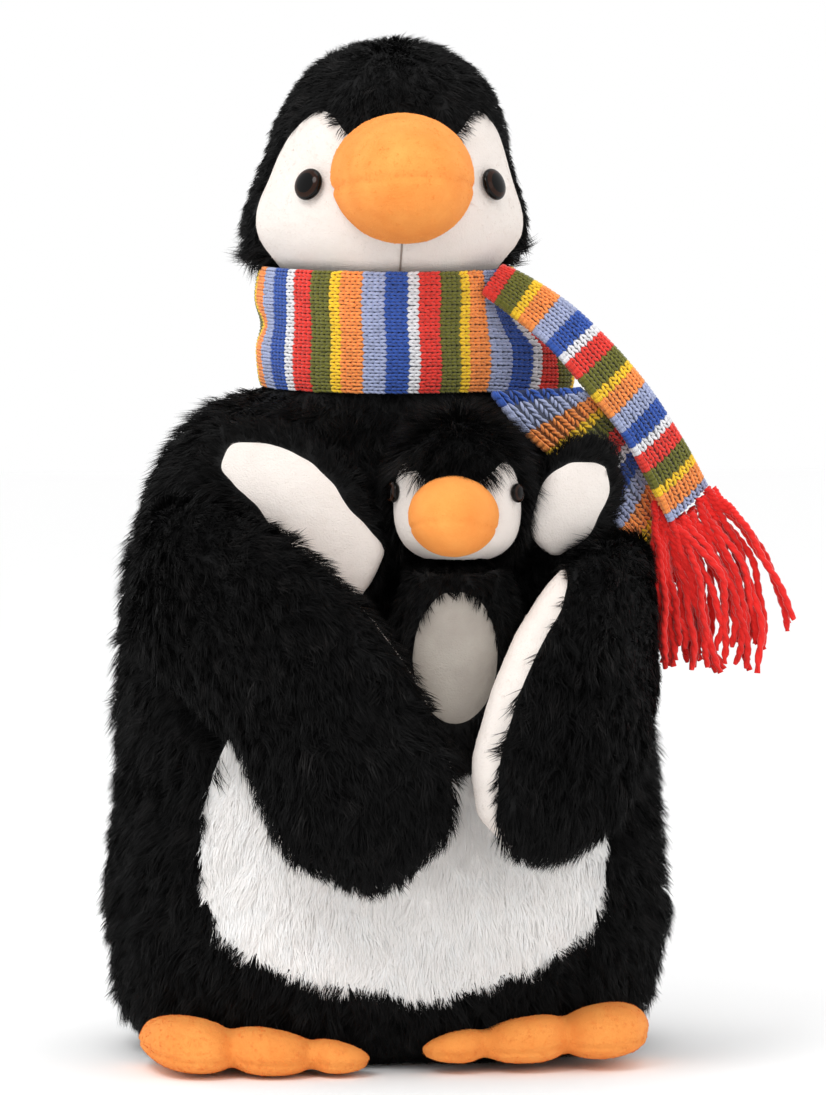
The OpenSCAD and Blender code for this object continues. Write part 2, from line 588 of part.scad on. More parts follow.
// chick flippers: two layers sewn face to face, held up and outwards
chick_flipper_right_rows = [
  [0, -14.5, -90, 206, -14, 9, 0.6], [0.3, -32, -84.5, 219, -12, 18, 1],
  [0.65, -54, -77.5, 233, -12, 20.5, 1], [1, -77, -71, 244, -14, 12, 0.7]];
chick_flipper_left_rows = [
  [0, 49.5, -90, 205, 20, 8, 0.6], [0.3, 60.5, -83, 219, 28, 16.5, 1],
  [0.65, 71, -76, 229, 32, 19.5, 1], [1, 82, -68, 233, 34, 11, 0.7]];
chick_flipper_at = function(rows, u, v)
  let (a = curve(rows, v, 4), n0 = [sin(a), -cos(a), 0])
  let (q = tail_spine(rows, min(1, v + 0.02)) - tail_spine(rows, max(0, v - 0.02)))
  let (w = unit(cross(n0, q)), n = unit(cross(q, w)))
  let (hw = curve(rows, v, 5), ht = chick_flipper_half_t * curve(rows, v, 6))
  tail_spine(rows, v) + w * hw * spow(cos(360 * u), 0.9) + n * ht * spow(sin(360 * u), 0.9);

// the lining faces the front, the long pile layer faces the back
module chick_flipper_half(rows, front)
  color(front ? white : black)
  panel(function(u, v, d)
    let (s = front ? mix(0.004, 0.496, u) : mix(0.504, 0.996, u))
    let (p = chick_flipper_at(rows, s, v), c = tail_spine(rows, v))
    d > 0 ? c + (p - c) * 0.15 : p, 8, 8, 1);

// ---------- nodes ----------

back_panel(-1);  // back_panel_right
back_panel(1);  // back_panel_left
front_panel(-1);  // front_panel_right
front_panel(1);  // front_panel_left
belly_panel();
base_panel();
body_stuffing();
scarf_wrap();
foot_top(0);  // foot_right_top
foot_sole(0);  // foot_right_sole
foot_stuffing(0);  // foot_right_stuffing
foot_top(1);  // foot_left_top
foot_sole(1);  // foot_left_sole
foot_stuffing(1);  // foot_left_stuffing
crown_half(-1);  // crown_right
crown_half(1);  // crown_left
face_half(-1);  // face_right
face_half(1);  // face_left
beak_upper();
beak_lower();
beak_stuffing();
head_stuffing();
eye(0);  // eye_right
eye(1);  // eye_left
eye_washer(0);  // eye_washer_right
eye_washer(1);  // eye_washer_left
flipper_outer(flipper_right_rows, outer_edge);  // flipper_right_outer
flipper_lining(flipper_right_rows, outer_edge);  // flipper_right_lining
flipper_stuffing(flipper_right_rows);  // flipper_right_stuffing
flipper_outer(flipper_left_rows, turned_edge);  // flipper_left_outer
flipper_lining(flipper_left_rows, turned_edge);  // flipper_left_lining
flipper_stuffing(flipper_left_rows);  // flipper_left_stuffing
scarf_tail(tail_front_rows);  // scarf_tail_front
scarf_fringe_front();
scarf_tail(tail_back_rows);  // scarf_tail_back
scarf_fringe_back();
chick_back_panel();
chick_front_panel();
chick_belly_patch();
chick_stuffing();
chick_crown();
chick_face();
chick_beak_upper();
chick_beak_lower();
chick_beak_stuffing();
chick_head_stuffing();
chick_eye(0);  // chick_eye_right
chick_eye(1);  // chick_eye_left
chick_eye_washer(0);  // chick_eye_washer_right
chick_eye_washer(1);  // chick_eye_washer_left
chick_flipper_half(chick_flipper_right_rows, false);  // chick_flipper_right_outer
chick_flipper_half(chick_flipper_right_rows, true);  // chick_flipper_right_lining
chick_flipper_half(chick_flipper_left_rows, false);  // chick_flipper_left_outer
chick_flipper_half(chick_flipper_left_rows, true);  // chick_flipper_left_lining
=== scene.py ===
"""Looks of a stuffed penguin that hugs a chick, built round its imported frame.

All lengths are in metres, in the frame of the CAD: the front of the toy is -Y and the floor is z = 0.
Each stuffed form is a closed skin made from its CAD panels, with real strands of pile sewn onto it.
"""
import json
import math

import bmesh
import bpy
import numpy as np
from mathutils import Matrix, Vector, noise
from mathutils.bvhtree import BVHTree
from mathutils.kdtree import KDTree


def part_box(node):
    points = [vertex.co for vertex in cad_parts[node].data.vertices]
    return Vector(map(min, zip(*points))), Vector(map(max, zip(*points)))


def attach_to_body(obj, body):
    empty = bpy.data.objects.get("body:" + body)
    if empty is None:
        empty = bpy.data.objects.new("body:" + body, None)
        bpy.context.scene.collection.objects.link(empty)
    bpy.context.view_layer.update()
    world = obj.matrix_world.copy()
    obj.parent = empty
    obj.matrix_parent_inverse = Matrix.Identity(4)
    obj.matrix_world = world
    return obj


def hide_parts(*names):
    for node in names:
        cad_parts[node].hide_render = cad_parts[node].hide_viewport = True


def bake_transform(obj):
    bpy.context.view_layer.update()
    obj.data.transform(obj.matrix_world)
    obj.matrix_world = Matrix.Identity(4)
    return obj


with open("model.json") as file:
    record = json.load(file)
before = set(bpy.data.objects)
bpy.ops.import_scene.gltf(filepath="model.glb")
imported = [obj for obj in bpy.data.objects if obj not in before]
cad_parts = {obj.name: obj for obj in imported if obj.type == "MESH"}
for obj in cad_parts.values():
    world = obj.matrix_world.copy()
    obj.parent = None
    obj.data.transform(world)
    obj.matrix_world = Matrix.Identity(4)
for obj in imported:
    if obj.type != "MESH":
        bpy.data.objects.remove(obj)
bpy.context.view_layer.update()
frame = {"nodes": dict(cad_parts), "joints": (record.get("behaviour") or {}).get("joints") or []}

NODES = frame["nodes"]
HINGE = {j["name"]: np.array(j["pos_m"]) for j in frame["joints"] if "pos_m" in j}
MM = 0.001
DOWN = np.array([0.0, 0.0, -1.0])
# bodies sewn to the torso along soft cloth, each with two places along the seam; attach leaves the pieces of
# these bodies unparented, and the places are not read
BENDS = {"scarf_front": ((0.037, -0.044, 0.3085), (0.066, -0.050, 0.288)),
         "scarf_back": ((0.052, -0.0585, 0.265), (0.072, -0.053, 0.245)),
         "flipper_right": ((-0.102, -0.044, 0.195), (-0.072, -0.070, 0.155)),
         "flipper_left": ((0.102, -0.044, 0.180), (0.082, -0.070, 0.145))}


# ---------- materials ----------

def material(name, colour, roughness, **sockets):
    """A Principled material; the sockets are set by name, with _ for each space."""
    made = bpy.data.materials.new(name)
    made.use_nodes = True
    shader = made.node_tree.nodes["Principled BSDF"]
    shader.inputs["Base Color"].default_value = (*colour, 1)
    shader.inputs["Roughness"].default_value = roughness
    for key, value in sockets.items():
        shader.inputs[key.replace("_", " ")].default_value = value
    return made


def add(mat, kind, **inputs):
    made = mat.node_tree.nodes.new(kind)
    for key, value in inputs.items():
        made.inputs[key].default_value = value
    return made


def noise_of(mat, per_m, detail=3.0, stretch=(1, 1, 1)):
    """A noise texture in the object's own coordinates, with per_m features in a metre."""
    where = add(mat, "ShaderNodeTexCoord")
    size = add(mat, "ShaderNodeMapping", Scale=stretch)
    texture = add(mat, "ShaderNodeTexNoise", Scale=per_m, Detail=detail)
    link = mat.node_tree.links.new
    link(where.outputs["Object"], size.inputs["Vector"])
    link(size.outputs["Vector"], texture.inputs["Vector"])
    return texture.outputs["Fac"]


def bumpy(mat, heights, depth):
    """Bump from the sum of several height outputs; depth is in metres."""
    link = mat.node_tree.links.new
    total = heights[0]
    for height in heights[1:]:
        plus = add(mat, "ShaderNodeMath")
        link(total, plus.inputs[0])
        link(height, plus.inputs[1])
        total = plus.outputs[0]
    bump = add(mat, "ShaderNodeBump", Strength=1.0, Distance=depth)
    link(total, bump.inputs["Height"])
    link(bump.outputs["Normal"], mat.node_tree.nodes["Principled BSDF"].inputs["Normal"])


def ramp(mat, factor, low, high, socket, lowest=0.35, highest=0.65):
    """Drives a socket from low to high as factor goes from lowest to highest."""
    shader = mat.node_tree.nodes["Principled BSDF"]
    link = mat.node_tree.links.new
    if hasattr(low, "__len__"):
        made = add(mat, "ShaderNodeValToRGB")
        made.color_ramp.elements[0].position = lowest
        made.color_ramp.elements[1].position = highest
        made.color_ramp.elements[0].color = (*low, 1)
        made.color_ramp.elements[1].color = (*high, 1)
        link(factor, made.inputs["Fac"])
        link(made.outputs["Color"], shader.inputs[socket])
    else:
        made = add(mat, "ShaderNodeMapRange")
        for key, value in zip(("From Min", "From Max", "To Min", "To Max"), (lowest, highest, low, high)):
            made.inputs[key].default_value = value
        link(factor, made.inputs["Value"])
        link(made.outputs["Result"], shader.inputs[socket])


def short_pile(name, dark, light, fibre=1500, sheen=0.35):
    """Velvety cloth: brushed patches in the colour and a fine fibre bump."""
    mat = material(name, light, 0.85, Sheen_Weight=sheen, Sheen_Roughness=0.45, Specular_IOR_Level=0.25)
    mat.node_tree.nodes["Principled BSDF"].inputs["Sheen Tint"].default_value = (*light, 1)
    ramp(mat, noise_of(mat, 70, 5), dark, light, "Base Color", 0.3, 0.7)
    bumpy(mat, [noise_of(mat, fibre, 2), noise_of(mat, 220, 3)], 0.35 * MM)
    return mat


def strand_shades(name, shades, roughness=0.55, **sockets):
    """One material for each shade of a pile; the gloss varies along the strands."""
    made = []
    for i, colour in enumerate(shades):
        mat = material(f"{name}_{i}", colour, roughness, **sockets)
        ramp(mat, noise_of(mat, 300, 2), roughness - 0.12, roughness + 0.15, "Roughness")
        made.append(mat)
    return made


BLACKS = strand_shades("black_pile", [(0.0009, 0.0009, 0.001), (0.0018, 0.0017, 0.0018),
                                      (0.004, 0.0038, 0.0038), (0.011, 0.01, 0.0098)],
                       0.6, Specular_IOR_Level=0.13)
WHITES = strand_shades("white_pile", [(0.99, 0.97, 0.95), (0.97, 0.95, 0.93), (0.99, 0.985, 0.975)],
                       0.8, Specular_IOR_Level=0.15, Sheen_Weight=0.5)
CREAMS = strand_shades("cream_pile", [(0.84, 0.765, 0.715), (0.87, 0.80, 0.755), (0.81, 0.735, 0.68)],
                       0.8, Specular_IOR_Level=0.15, Sheen_Weight=0.15)
ORANGES = strand_shades("orange_pile", [(0.93, 0.335, 0.065), (0.97, 0.385, 0.09), (0.88, 0.29, 0.05)],
                        0.8, Specular_IOR_Level=0.15, Sheen_Weight=0.15)
GREYS = strand_shades("grey_pile", [(0.36, 0.325, 0.285), (0.43, 0.395, 0.35), (0.31, 0.28, 0.245)],
                      0.75, Specular_IOR_Level=0.2, Sheen_Weight=0.2)

BLACK_CLOTH = short_pile("black_backing", (0.0025, 0.0025, 0.003), (0.006, 0.006, 0.006), sheen=0.03)
WHITE_CLOTH = short_pile("white_backing", (0.95, 0.93, 0.91), (0.98, 0.965, 0.95))
CREAM_VELVET = short_pile("cream_velvet", (0.81, 0.74, 0.69), (0.85, 0.785, 0.735))
ORANGE_VELVET = short_pile("orange_velvet", (0.88, 0.285, 0.055), (0.95, 0.36, 0.08))
GREY_VELVET = short_pile("grey_velvet", (0.34, 0.305, 0.27), (0.42, 0.385, 0.34))


def woven(name, colour):
    """Plain weave for the bottom cloth."""
    mat = material(name, colour, 0.9)
    shader = mat.node_tree.nodes["Principled BSDF"]
    where = add(mat, "ShaderNodeTexCoord")
    waves = []
    for axis in "XY":
        wave = add(mat, "ShaderNodeTexWave", Scale=190.0)
        wave.bands_direction = axis
        mat.node_tree.links.new(where.outputs["Object"], wave.inputs["Vector"])
        waves.append(wave.outputs["Fac"])
    bumpy(mat, waves, 0.2 * MM)
    ramp(mat, noise_of(mat, 60, 4), 0.8, 0.95, "Roughness")
    shader.inputs["Specular IOR Level"].default_value = 0.2
    return mat


BASE_CLOTH = woven("base_weave", (0.012, 0.012, 0.014))


# ---------- arrays and meshes ----------

def read(items, key, wide=1, kind=float):
    """An attribute of each vertex, edge, face or corner, as an array."""
    out = np.empty(len(items) * wide, kind)
    items.foreach_get(key, out)
    return out.reshape(-1, wide) if wide > 1 else out


def positions(mesh):
    return read(mesh.vertices, "co", 3)


def vertex_normals(mesh):
    return read(mesh.vertices, "normal", 3)


def edges_of(mesh):
    return read(mesh.edges, "vertices", 2, np.int32)


def face_centres(mesh):
    return read(mesh.polygons, "center", 3)


def slots_of(mesh):
    return read(mesh.polygons, "material_index", 1, np.int32)


def set_positions(mesh, co):
    mesh.vertices.foreach_set("co", co.ravel())
    mesh.update()


def unit(v):
    return v / np.maximum(np.linalg.norm(v, axis=-1, keepdims=True), 1e-12)


def lerp(a, b, t):
    return a + (b - a) * t


def new_object(name, mesh, mats=(), smooth=True):
    made = bpy.data.objects.new(name, mesh)
    bpy.context.scene.collection.objects.link(made)
    for mat in mats:
        mesh.materials.append(mat)
    mesh.polygons.foreach_set("use_smooth", [smooth] * len(mesh.polygons))
    return made


def from_arrays(name, co, polys, mats=(), slots=None, smooth=True):
    """Mesh object from points and a list of index arrays, one for each number of corners."""
    mesh = bpy.data.meshes.new(name)
    polys = [np.asarray(p, np.int32) for p in polys]
    corners = np.concatenate([p.ravel() for p in polys])
    sizes = np.concatenate([np.full(len(p), p.shape[1], np.int32) for p in polys])
    mesh.vertices.add(len(co))
    mesh.vertices.foreach_set("co", np.asarray(co, np.float32).ravel())
    mesh.loops.add(len(corners))
    mesh.loops.foreach_set("vertex_index", corners)
    mesh.polygons.add(len(sizes))
    mesh.polygons.foreach_set("loop_start", np.concatenate([[0], np.cumsum(sizes)[:-1]]).astype(np.int32))
    made = new_object(name, mesh, mats, smooth)
    if slots is not None:
        mesh.polygons.foreach_set("material_index", np.asarray(slots, np.int32))
    mesh.update(calc_edges=True)
    mesh.validate()
    return made


def apply_modifiers(obj):
    graph = bpy.context.evaluated_depsgraph_get()
    mesh = bpy.data.meshes.new_from_object(obj.evaluated_get(graph))
    obj.modifiers.clear()
    old, obj.data = obj.data, mesh
    bpy.data.meshes.remove(old)


def remesh(obj, voxel):
    made = obj.modifiers.new("remesh", "REMESH")
    made.mode = "VOXEL"
    made.voxel_size = voxel
    apply_modifiers(obj)


def keep_outside(mesh):
    """Keeps the outermost of the closed surfaces in a mesh."""
    pairs = edges_of(mesh)
    label = np.arange(len(mesh.vertices))
    while True:
        low = np.minimum(label[pairs[:, 0]], label[pairs[:, 1]])
        fresh = label.copy()
        np.minimum.at(fresh, pairs[:, 0], low)
        np.minimum.at(fresh, pairs[:, 1], low)
        fresh = fresh[fresh]
        if (fresh == label).all():
            break
        label = fresh
    co = positions(mesh)
    sizes = {i: np.ptp(co[label == i], axis=0).sum() for i in np.unique(label)}
    best = max(sizes, key=sizes.get)
    bm = bmesh.new()
    bm.from_mesh(mesh)
    bm.verts.ensure_lookup_table()
    bmesh.ops.delete(bm, geom=[bm.verts[i] for i in np.nonzero(label != best)[0]], context="VERTS")
    bm.to_mesh(mesh)
    bm.free()


def relax(mesh, rounds):
    """Smooths away the facets, then pushes the surface out again by what it shrank."""
    pairs, co = edges_of(mesh), positions(mesh)
    before, normals = co.copy(), vertex_normals(mesh)
    degree = np.maximum(np.bincount(pairs.ravel(), minlength=len(co)), 1)[:, None]
    for _ in range(rounds):
        total = np.zeros_like(co)
        for axis in range(3):
            total[:, axis] = (np.bincount(pairs[:, 0], co[pairs[:, 1], axis], len(co))
                              + np.bincount(pairs[:, 1], co[pairs[:, 0], axis], len(co)))
        co = co + 0.6 * (total / degree - co)
    shrunk = ((before - co) * normals).sum(1).mean()
    set_positions(mesh, co + normals * max(0, shrunk))


def surface_of(mesh):
    return BVHTree.FromPolygons([v.co for v in mesh.vertices], [p.vertices for p in mesh.polygons])


def finder_of(points):
    """Finds the nearest of some points."""
    finder = KDTree(len(points))
    for i, point in enumerate(points):
        finder.insert(point, i)
    finder.balance()
    return finder


TREES = {}


def tree(name):
    """The surface of a CAD node."""
    if name not in TREES:
        TREES[name] = surface_of(NODES[name].data)
    return TREES[name]


def distances(points, groups):
    """Distance of each point to each group of CAD nodes, as an array."""
    out = np.empty((len(points), len(groups)))
    asked = [Vector(p) for p in points]
    for j, names in enumerate(groups):
        out[:, j] = np.min([[tree(n).find_nearest(p)[3] for p in asked] for n in names], axis=0)
    return out


def lumps(points, per_m, seed):
    """Smooth seeded noise from about -1 to 1 at each point."""
    shift = Vector((seed * 7.31, seed * 3.17, seed * 1.93))
    return np.array([noise.noise(Vector(p) * per_m + shift) for p in points]) * 1.6


def skin(name, groups, fillings, mats, fine, coarse, rounds, body, lumpy=0.0):
    """A closed stuffed form round CAD panels. Each group of panels gives its faces a material."""
    bm = bmesh.new()
    for node in [n for group in groups for n in group] + list(fillings):
        bm.from_mesh(NODES[node].data)
    mesh = bpy.data.meshes.new(name)
    bm.to_mesh(mesh)
    bm.free()
    made = new_object(name, mesh)
    remesh(made, fine)
    keep_outside(made.data)
    remesh(made, coarse)
    keep_outside(made.data)
    relax(made.data, rounds)
    mesh = made.data
    if lumpy:
        co = positions(mesh)
        push = lumpy * (lumps(co, 28, 3) + 0.5 * lumps(co, 70, 5))
        co += vertex_normals(mesh) * np.minimum(push, lumpy)[:, None]
        co[:, 2] = np.maximum(co[:, 2], 0.3 * MM)
        set_positions(mesh, co)
    for mat in mats:
        mesh.materials.append(mat)
    near = distances(face_centres(mesh), groups)
    mesh.polygons.foreach_set("material_index", near.argmin(1).astype(np.int32))
    mesh.polygons.foreach_set("use_smooth", [True] * len(mesh.polygons))
    mesh.update()
    smooth_seams(mesh)
    if body:
        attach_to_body(made, body)
    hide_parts(*[n for group in groups for n in group], *fillings)
    return made


def smooth_seams(mesh, rounds=8):
    """Straightens the edges between materials on a skin."""
    bm = bmesh.new()
    bm.from_mesh(mesh)
    bm.faces.ensure_lookup_table()
    near = {}
    for edge in bm.edges:
        if len({face.material_index for face in edge.link_faces}) > 1:
            a, b = (v.index for v in edge.verts)
            near.setdefault(a, []).append(b)
            near.setdefault(b, []).append(a)
    bm.free()
    mine = [v for v, beside in near.items() if len(beside) == 2]
    if not mine:
        return
    beside = np.array([near[v] for v in mine])
    co = positions(mesh)
    for _ in range(rounds):
        co[mine] = (co[mine] + co[beside].mean(1)) / 2
    set_positions(mesh, co)


def groove(obj, group_a, group_b, width, depth):
    """Sinks the skin along the seam between two groups of CAD panels."""
    mesh = obj.data
    co = positions(mesh)
    near = distances(co, [group_a, group_b])
    away = np.abs(near[:, 0] - near[:, 1]) / width
    set_positions(mesh, co - vertex_normals(mesh) * (depth * np.exp(-away ** 2))[:, None])


# ---------- strands of pile ----------

def roots_on(obj, per_mm2, seed, slots=None):
    """Random points on a skin with their normals, on faces of the given material slots."""
    mesh = obj.data
    mesh.calc_loop_triangles()
    tris = read(mesh.loop_triangles, "vertices", 3, np.int32)
    if slots is not None:
        face = read(mesh.loop_triangles, "polygon_index", 1, np.int32)
        tris = tris[np.isin(slots_of(mesh)[face], slots)]
    co, normals = positions(mesh), vertex_normals(mesh)
    a, b, c = (co[tris[:, k]] for k in range(3))
    area = np.linalg.norm(np.cross(b - a, c - a), axis=1) / 2
    rng = np.random.default_rng(seed)
    picked = rng.choice(len(tris), int(area.sum() * 1e6 * per_mm2), p=area / area.sum())
    share = rng.dirichlet((1, 1, 1), len(picked))
    points = sum(share[:, k, None] * co[tris[picked, k]] for k in range(3))
    return points, unit(sum(share[:, k, None] * normals[tris[picked, k]] for k in range(3)))


def pile(name, points, normals, flow, length, shades, seed, lift=(45, 8), width=0.7 * MM, segments=3,
         per_clump=14, pull=0.45, turn=14.0, own_turn=9.0, odd=(0.5, 0.3, 0.15, 0.05), stand=1.0,
         twist=0.7):
    """Strands combed along flow. Strands of one clump lean alike and lean together at their tips.
    stand makes them more or less upright, for each point, and twist turns their flat sides."""
    rng = np.random.default_rng(seed)
    count = len(points)
    length = np.broadcast_to(np.asarray(length, float), (count,))
    clumps = max(1, count // per_clump)
    heads = rng.choice(count, clumps, replace=False)
    finder = finder_of(points[heads])
    mine = np.array([finder.find(p)[1] for p in points])
    along = unit(flow - normals * (flow * normals).sum(1)[:, None])
    across = np.cross(normals, along)
    angle = np.radians(rng.normal(0, turn, clumps)[mine] + rng.normal(0, own_turn, count))[:, None]
    along = along * np.cos(angle) + across * np.sin(angle)
    across = np.cross(along, normals)
    tall = (stand * rng.uniform(0.6, 1.3, clumps)[mine] * rng.uniform(0.8, 1.2, count))[:, None]
    long = (length * rng.uniform(0.85, 1.15, clumps)[mine] * rng.uniform(0.7, 1.1, count))[:, None]
    offset = points - points[heads][mine]
    offset -= normals * (offset * normals).sum(1)[:, None]
    roll = rng.normal(0, twist, count)[:, None]
    side = across * np.cos(roll) + normals * np.sin(roll)
    here = points - normals * 0.4 * MM
    rows = []
    for k in range(segments + 1):
        s = k / segments
        if k:
            lean = np.radians(lerp(lift[0], lift[1], (k - 0.5) / segments)) * tall
            here = here + (along * np.cos(lean) + normals * np.sin(lean)) * long / segments
        centre = here - offset * pull * s ** 1.5
        half = side * width * 0.5 * (1 - 0.85 * s ** 2)
        rows += [centre - half, centre + half] if k < segments else [centre]
    co = np.stack(rows, 1)
    co[:, :, 2] = np.maximum(co[:, :, 2], 0.4 * MM)
    per = 2 * segments + 1
    first = (np.arange(count) * per)[:, None]
    quads = [first + np.array([2 * k, 2 * k + 1, 2 * k + 3, 2 * k + 2]) for k in range(segments - 1)]
    faces = ([np.concatenate(quads)] if quads else []) + [first + np.array([per - 3, per - 2, per - 1])]
    odds = np.array(odd[:len(shades)]) / sum(odd[:len(shades)])
    tone = np.where(rng.random(count) < 0.55, rng.choice(len(shades), clumps, p=odds)[mine],
                    rng.choice(len(shades), count, p=odds))
    return from_arrays(name, co.reshape(-1, 3), faces, shades, np.tile(tone, segments))


def recolour(obj, slot, into, border):
    """Gives a band along the edge of one material's region to another material. border(points) is
    the band's width at each point."""
    mesh = obj.data
    slots = slots_of(mesh)
    corners = read(mesh.loops, "vertex_index", 1, np.int32)
    sizes = read(mesh.polygons, "loop_total", 1, np.int32)
    of_loop = np.repeat(slots == slot, sizes)
    inside, outside = np.zeros(len(mesh.vertices), bool), np.zeros(len(mesh.vertices), bool)
    inside[corners[of_loop]] = True
    outside[corners[~of_loop]] = True
    finder = finder_of(positions(mesh)[inside & outside])
    mine = np.nonzero(slots == slot)[0]
    centres = face_centres(mesh)[mine]
    gap = np.array([finder.find(p)[2] for p in centres])
    slots[mine[gap < border(centres)]] = into
    mesh.polygons.foreach_set("material_index", slots)
    mesh.update()
    smooth_seams(mesh)


def attach(obj, body):
    if body in BENDS:
        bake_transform(obj)
    else:
        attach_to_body(obj, body)
    return obj


def fuzz(name, obj, slots, per_mm2, length, shades, seed, body, slot, flow=DOWN, keep=None, **look):
    """Short velvety fibres over part of a skin."""
    points, normals = roots_on(obj, per_mm2, seed, slots)
    if keep is not None:
        kept = keep(points, normals)
        points, normals = points[kept], normals[kept]
    field = flow(points) if callable(flow) else np.broadcast_to(flow, points.shape)
    look = {"lift": (48, 14), "width": 0.3 * MM, "segments": 2, "per_clump": 12, "pull": 0.2,
            "turn": 30.0, "own_turn": 25.0, "odd": (0.5, 0.3, 0.2)} | look
    made = pile(name, points, normals, field, length, shades, seed, **look)
    return attach(made, body)


def sew(name, points, normals, flow, length, shades, seed, body, slot, **look):
    """Pile for a body, passed to attach (pieces for the bodies in BENDS stay unparented), in pieces of at
    most 60 000 strands round the toy.
    """
    look = {"lift": (58, 16), "width": 0.36 * MM, "segments": 2, "per_clump": 36, "pull": 0.34,
            "turn": 24.0, "own_turn": 11.0, "odd": (0.45, 0.32, 0.17, 0.06)} | look
    parts = max(1, math.ceil(len(points) / 60000))
    order = np.argsort(np.arctan2(points[:, 0], -points[:, 1]))
    for k, mine in enumerate(np.array_split(order, parts)):
        here = {key: value[mine] if isinstance(value, np.ndarray) else value for key, value in look.items()}
        made = pile(name if parts == 1 else f"{name}_{k + 1}", points[mine], normals[mine], flow[mine],
                    length[mine], shades, seed + k, **here)
        attach(made, body)


# ---------- camera, floor and light ----------

VIEW_AZIMUTH, VIEW_ELEVATION, VIEW_DISTANCE = -7.0, 3.0, 2.2
VIEW_TARGET = Vector((11 * MM, 0, 200.5 * MM))
FRAME_HEIGHT = 440.2 * MM
SENSOR = 36.0


def toward(azimuth, elevation):
    a, e = math.radians(azimuth), math.radians(elevation)
    return Vector((math.sin(a) * math.cos(e), -math.cos(a) * math.cos(e), math.sin(e)))


def add_camera():
    data = bpy.data.cameras.new("camera")
    data.sensor_width = SENSOR
    data.lens = SENSOR * VIEW_DISTANCE / FRAME_HEIGHT
    data.clip_start, data.clip_end = 0.05, 50
    camera = bpy.data.objects.new("camera", data)
    bpy.context.scene.collection.objects.link(camera)
    back = toward(VIEW_AZIMUTH, VIEW_ELEVATION)
    camera.location = VIEW_TARGET + back * VIEW_DISTANCE
    camera.rotation_euler = back.to_track_quat("Z", "Y").to_euler()
    bpy.context.scene.camera = camera


def add_light(name, azimuth, elevation, distance, size, power):
    data = bpy.data.lights.new(name, "AREA")
    data.shape = "DISK"
    data.size = size
    data.energy = power
    lamp = bpy.data.objects.new(name, data)
    bpy.context.scene.collection.objects.link(lamp)
    back = toward(azimuth, elevation)
    lamp.location = Vector((0, 0, 0.2)) + back * distance
    lamp.rotation_euler = back.to_track_quat("Z", "Y").to_euler()


def add_studio():
    size = 6.0
    corners = np.array([[-size, -size, 0], [size, -size, 0], [size, size, 0], [-size, size, 0]])
    paper = material("studio_floor", (0.99, 0.99, 0.99), 0.9)
    floor = from_arrays("floor", corners, [[[0, 1, 2, 3]]], [paper], smooth=False)
    world = bpy.data.worlds.new("studio")
    bpy.context.scene.world = world
    world.use_nodes = True
    background = world.node_tree.nodes["Background"]
    background.inputs["Color"].default_value = (1, 1, 1, 1)
    background.inputs["Strength"].default_value = 1.0
    add_light("key_light", -38, 46, 1.5, 0.6, 7)
    add_light("fill_light", 42, 22, 1.7, 0.9, 1.5)
    add_light("top_light", 10, 84, 1.4, 0.8, 2.5)
    bpy.context.scene.view_settings.view_transform = "Standard"


# ---------- scarf ----------

KNIT = {"grey": (0.40, 0.45, 0.66), "blue": (0.035, 0.10, 0.42), "white": (0.84, 0.84, 0.87),
        "red": (0.83, 0.05, 0.035), "olive": (0.165, 0.165, 0.024), "yellow": (0.98, 0.64, 0.03),
        "orange": (0.98, 0.33, 0.08)}
KNIT_ORDER = list(KNIT)
# stripes along the scarf, as numbers of knitted courses
STRIPES = [("olive", 4), ("yellow", 2), ("orange", 4), ("grey", 4), ("blue", 4), ("white", 2), ("red", 4)]
COURSE = 2.29 * MM
WALES = 18
# the leg of a stitch: place along the strip in courses and across it in wales, and height in mm
LEG = ((-0.50, 0.10, -0.35), (-0.12, 0.19, 0.42), (0.34, 0.29, 0.52), (0.80, 0.35, -0.25))
KNIT_MATS = []


def knit_materials():
    for colour in KNIT.values():
        # painted shade: the third material of each colour, at 0.16 of its brightness, is for the cloth under
        # the stitches, so the holes between stitches look shaded
        for gain in (1.0, 0.86, 0.16):
            mat = material(f"yarn_{len(KNIT_MATS)}", tuple(c * gain for c in colour), 0.8, Sheen_Weight=0.3,
                           Sheen_Roughness=0.5, Specular_IOR_Level=0.2)
            bumpy(mat, [noise_of(mat, 2600, 3)], 0.2 * MM)
            ramp(mat, noise_of(mat, 500, 2), 0.7, 0.9, "Roughness")
            KNIT_MATS.append(mat)


def colours_of(stripes):
    """The colour's index for each course of a list of stripes."""
    return np.concatenate([[KNIT_ORDER.index(name)] * count for name, count in stripes])


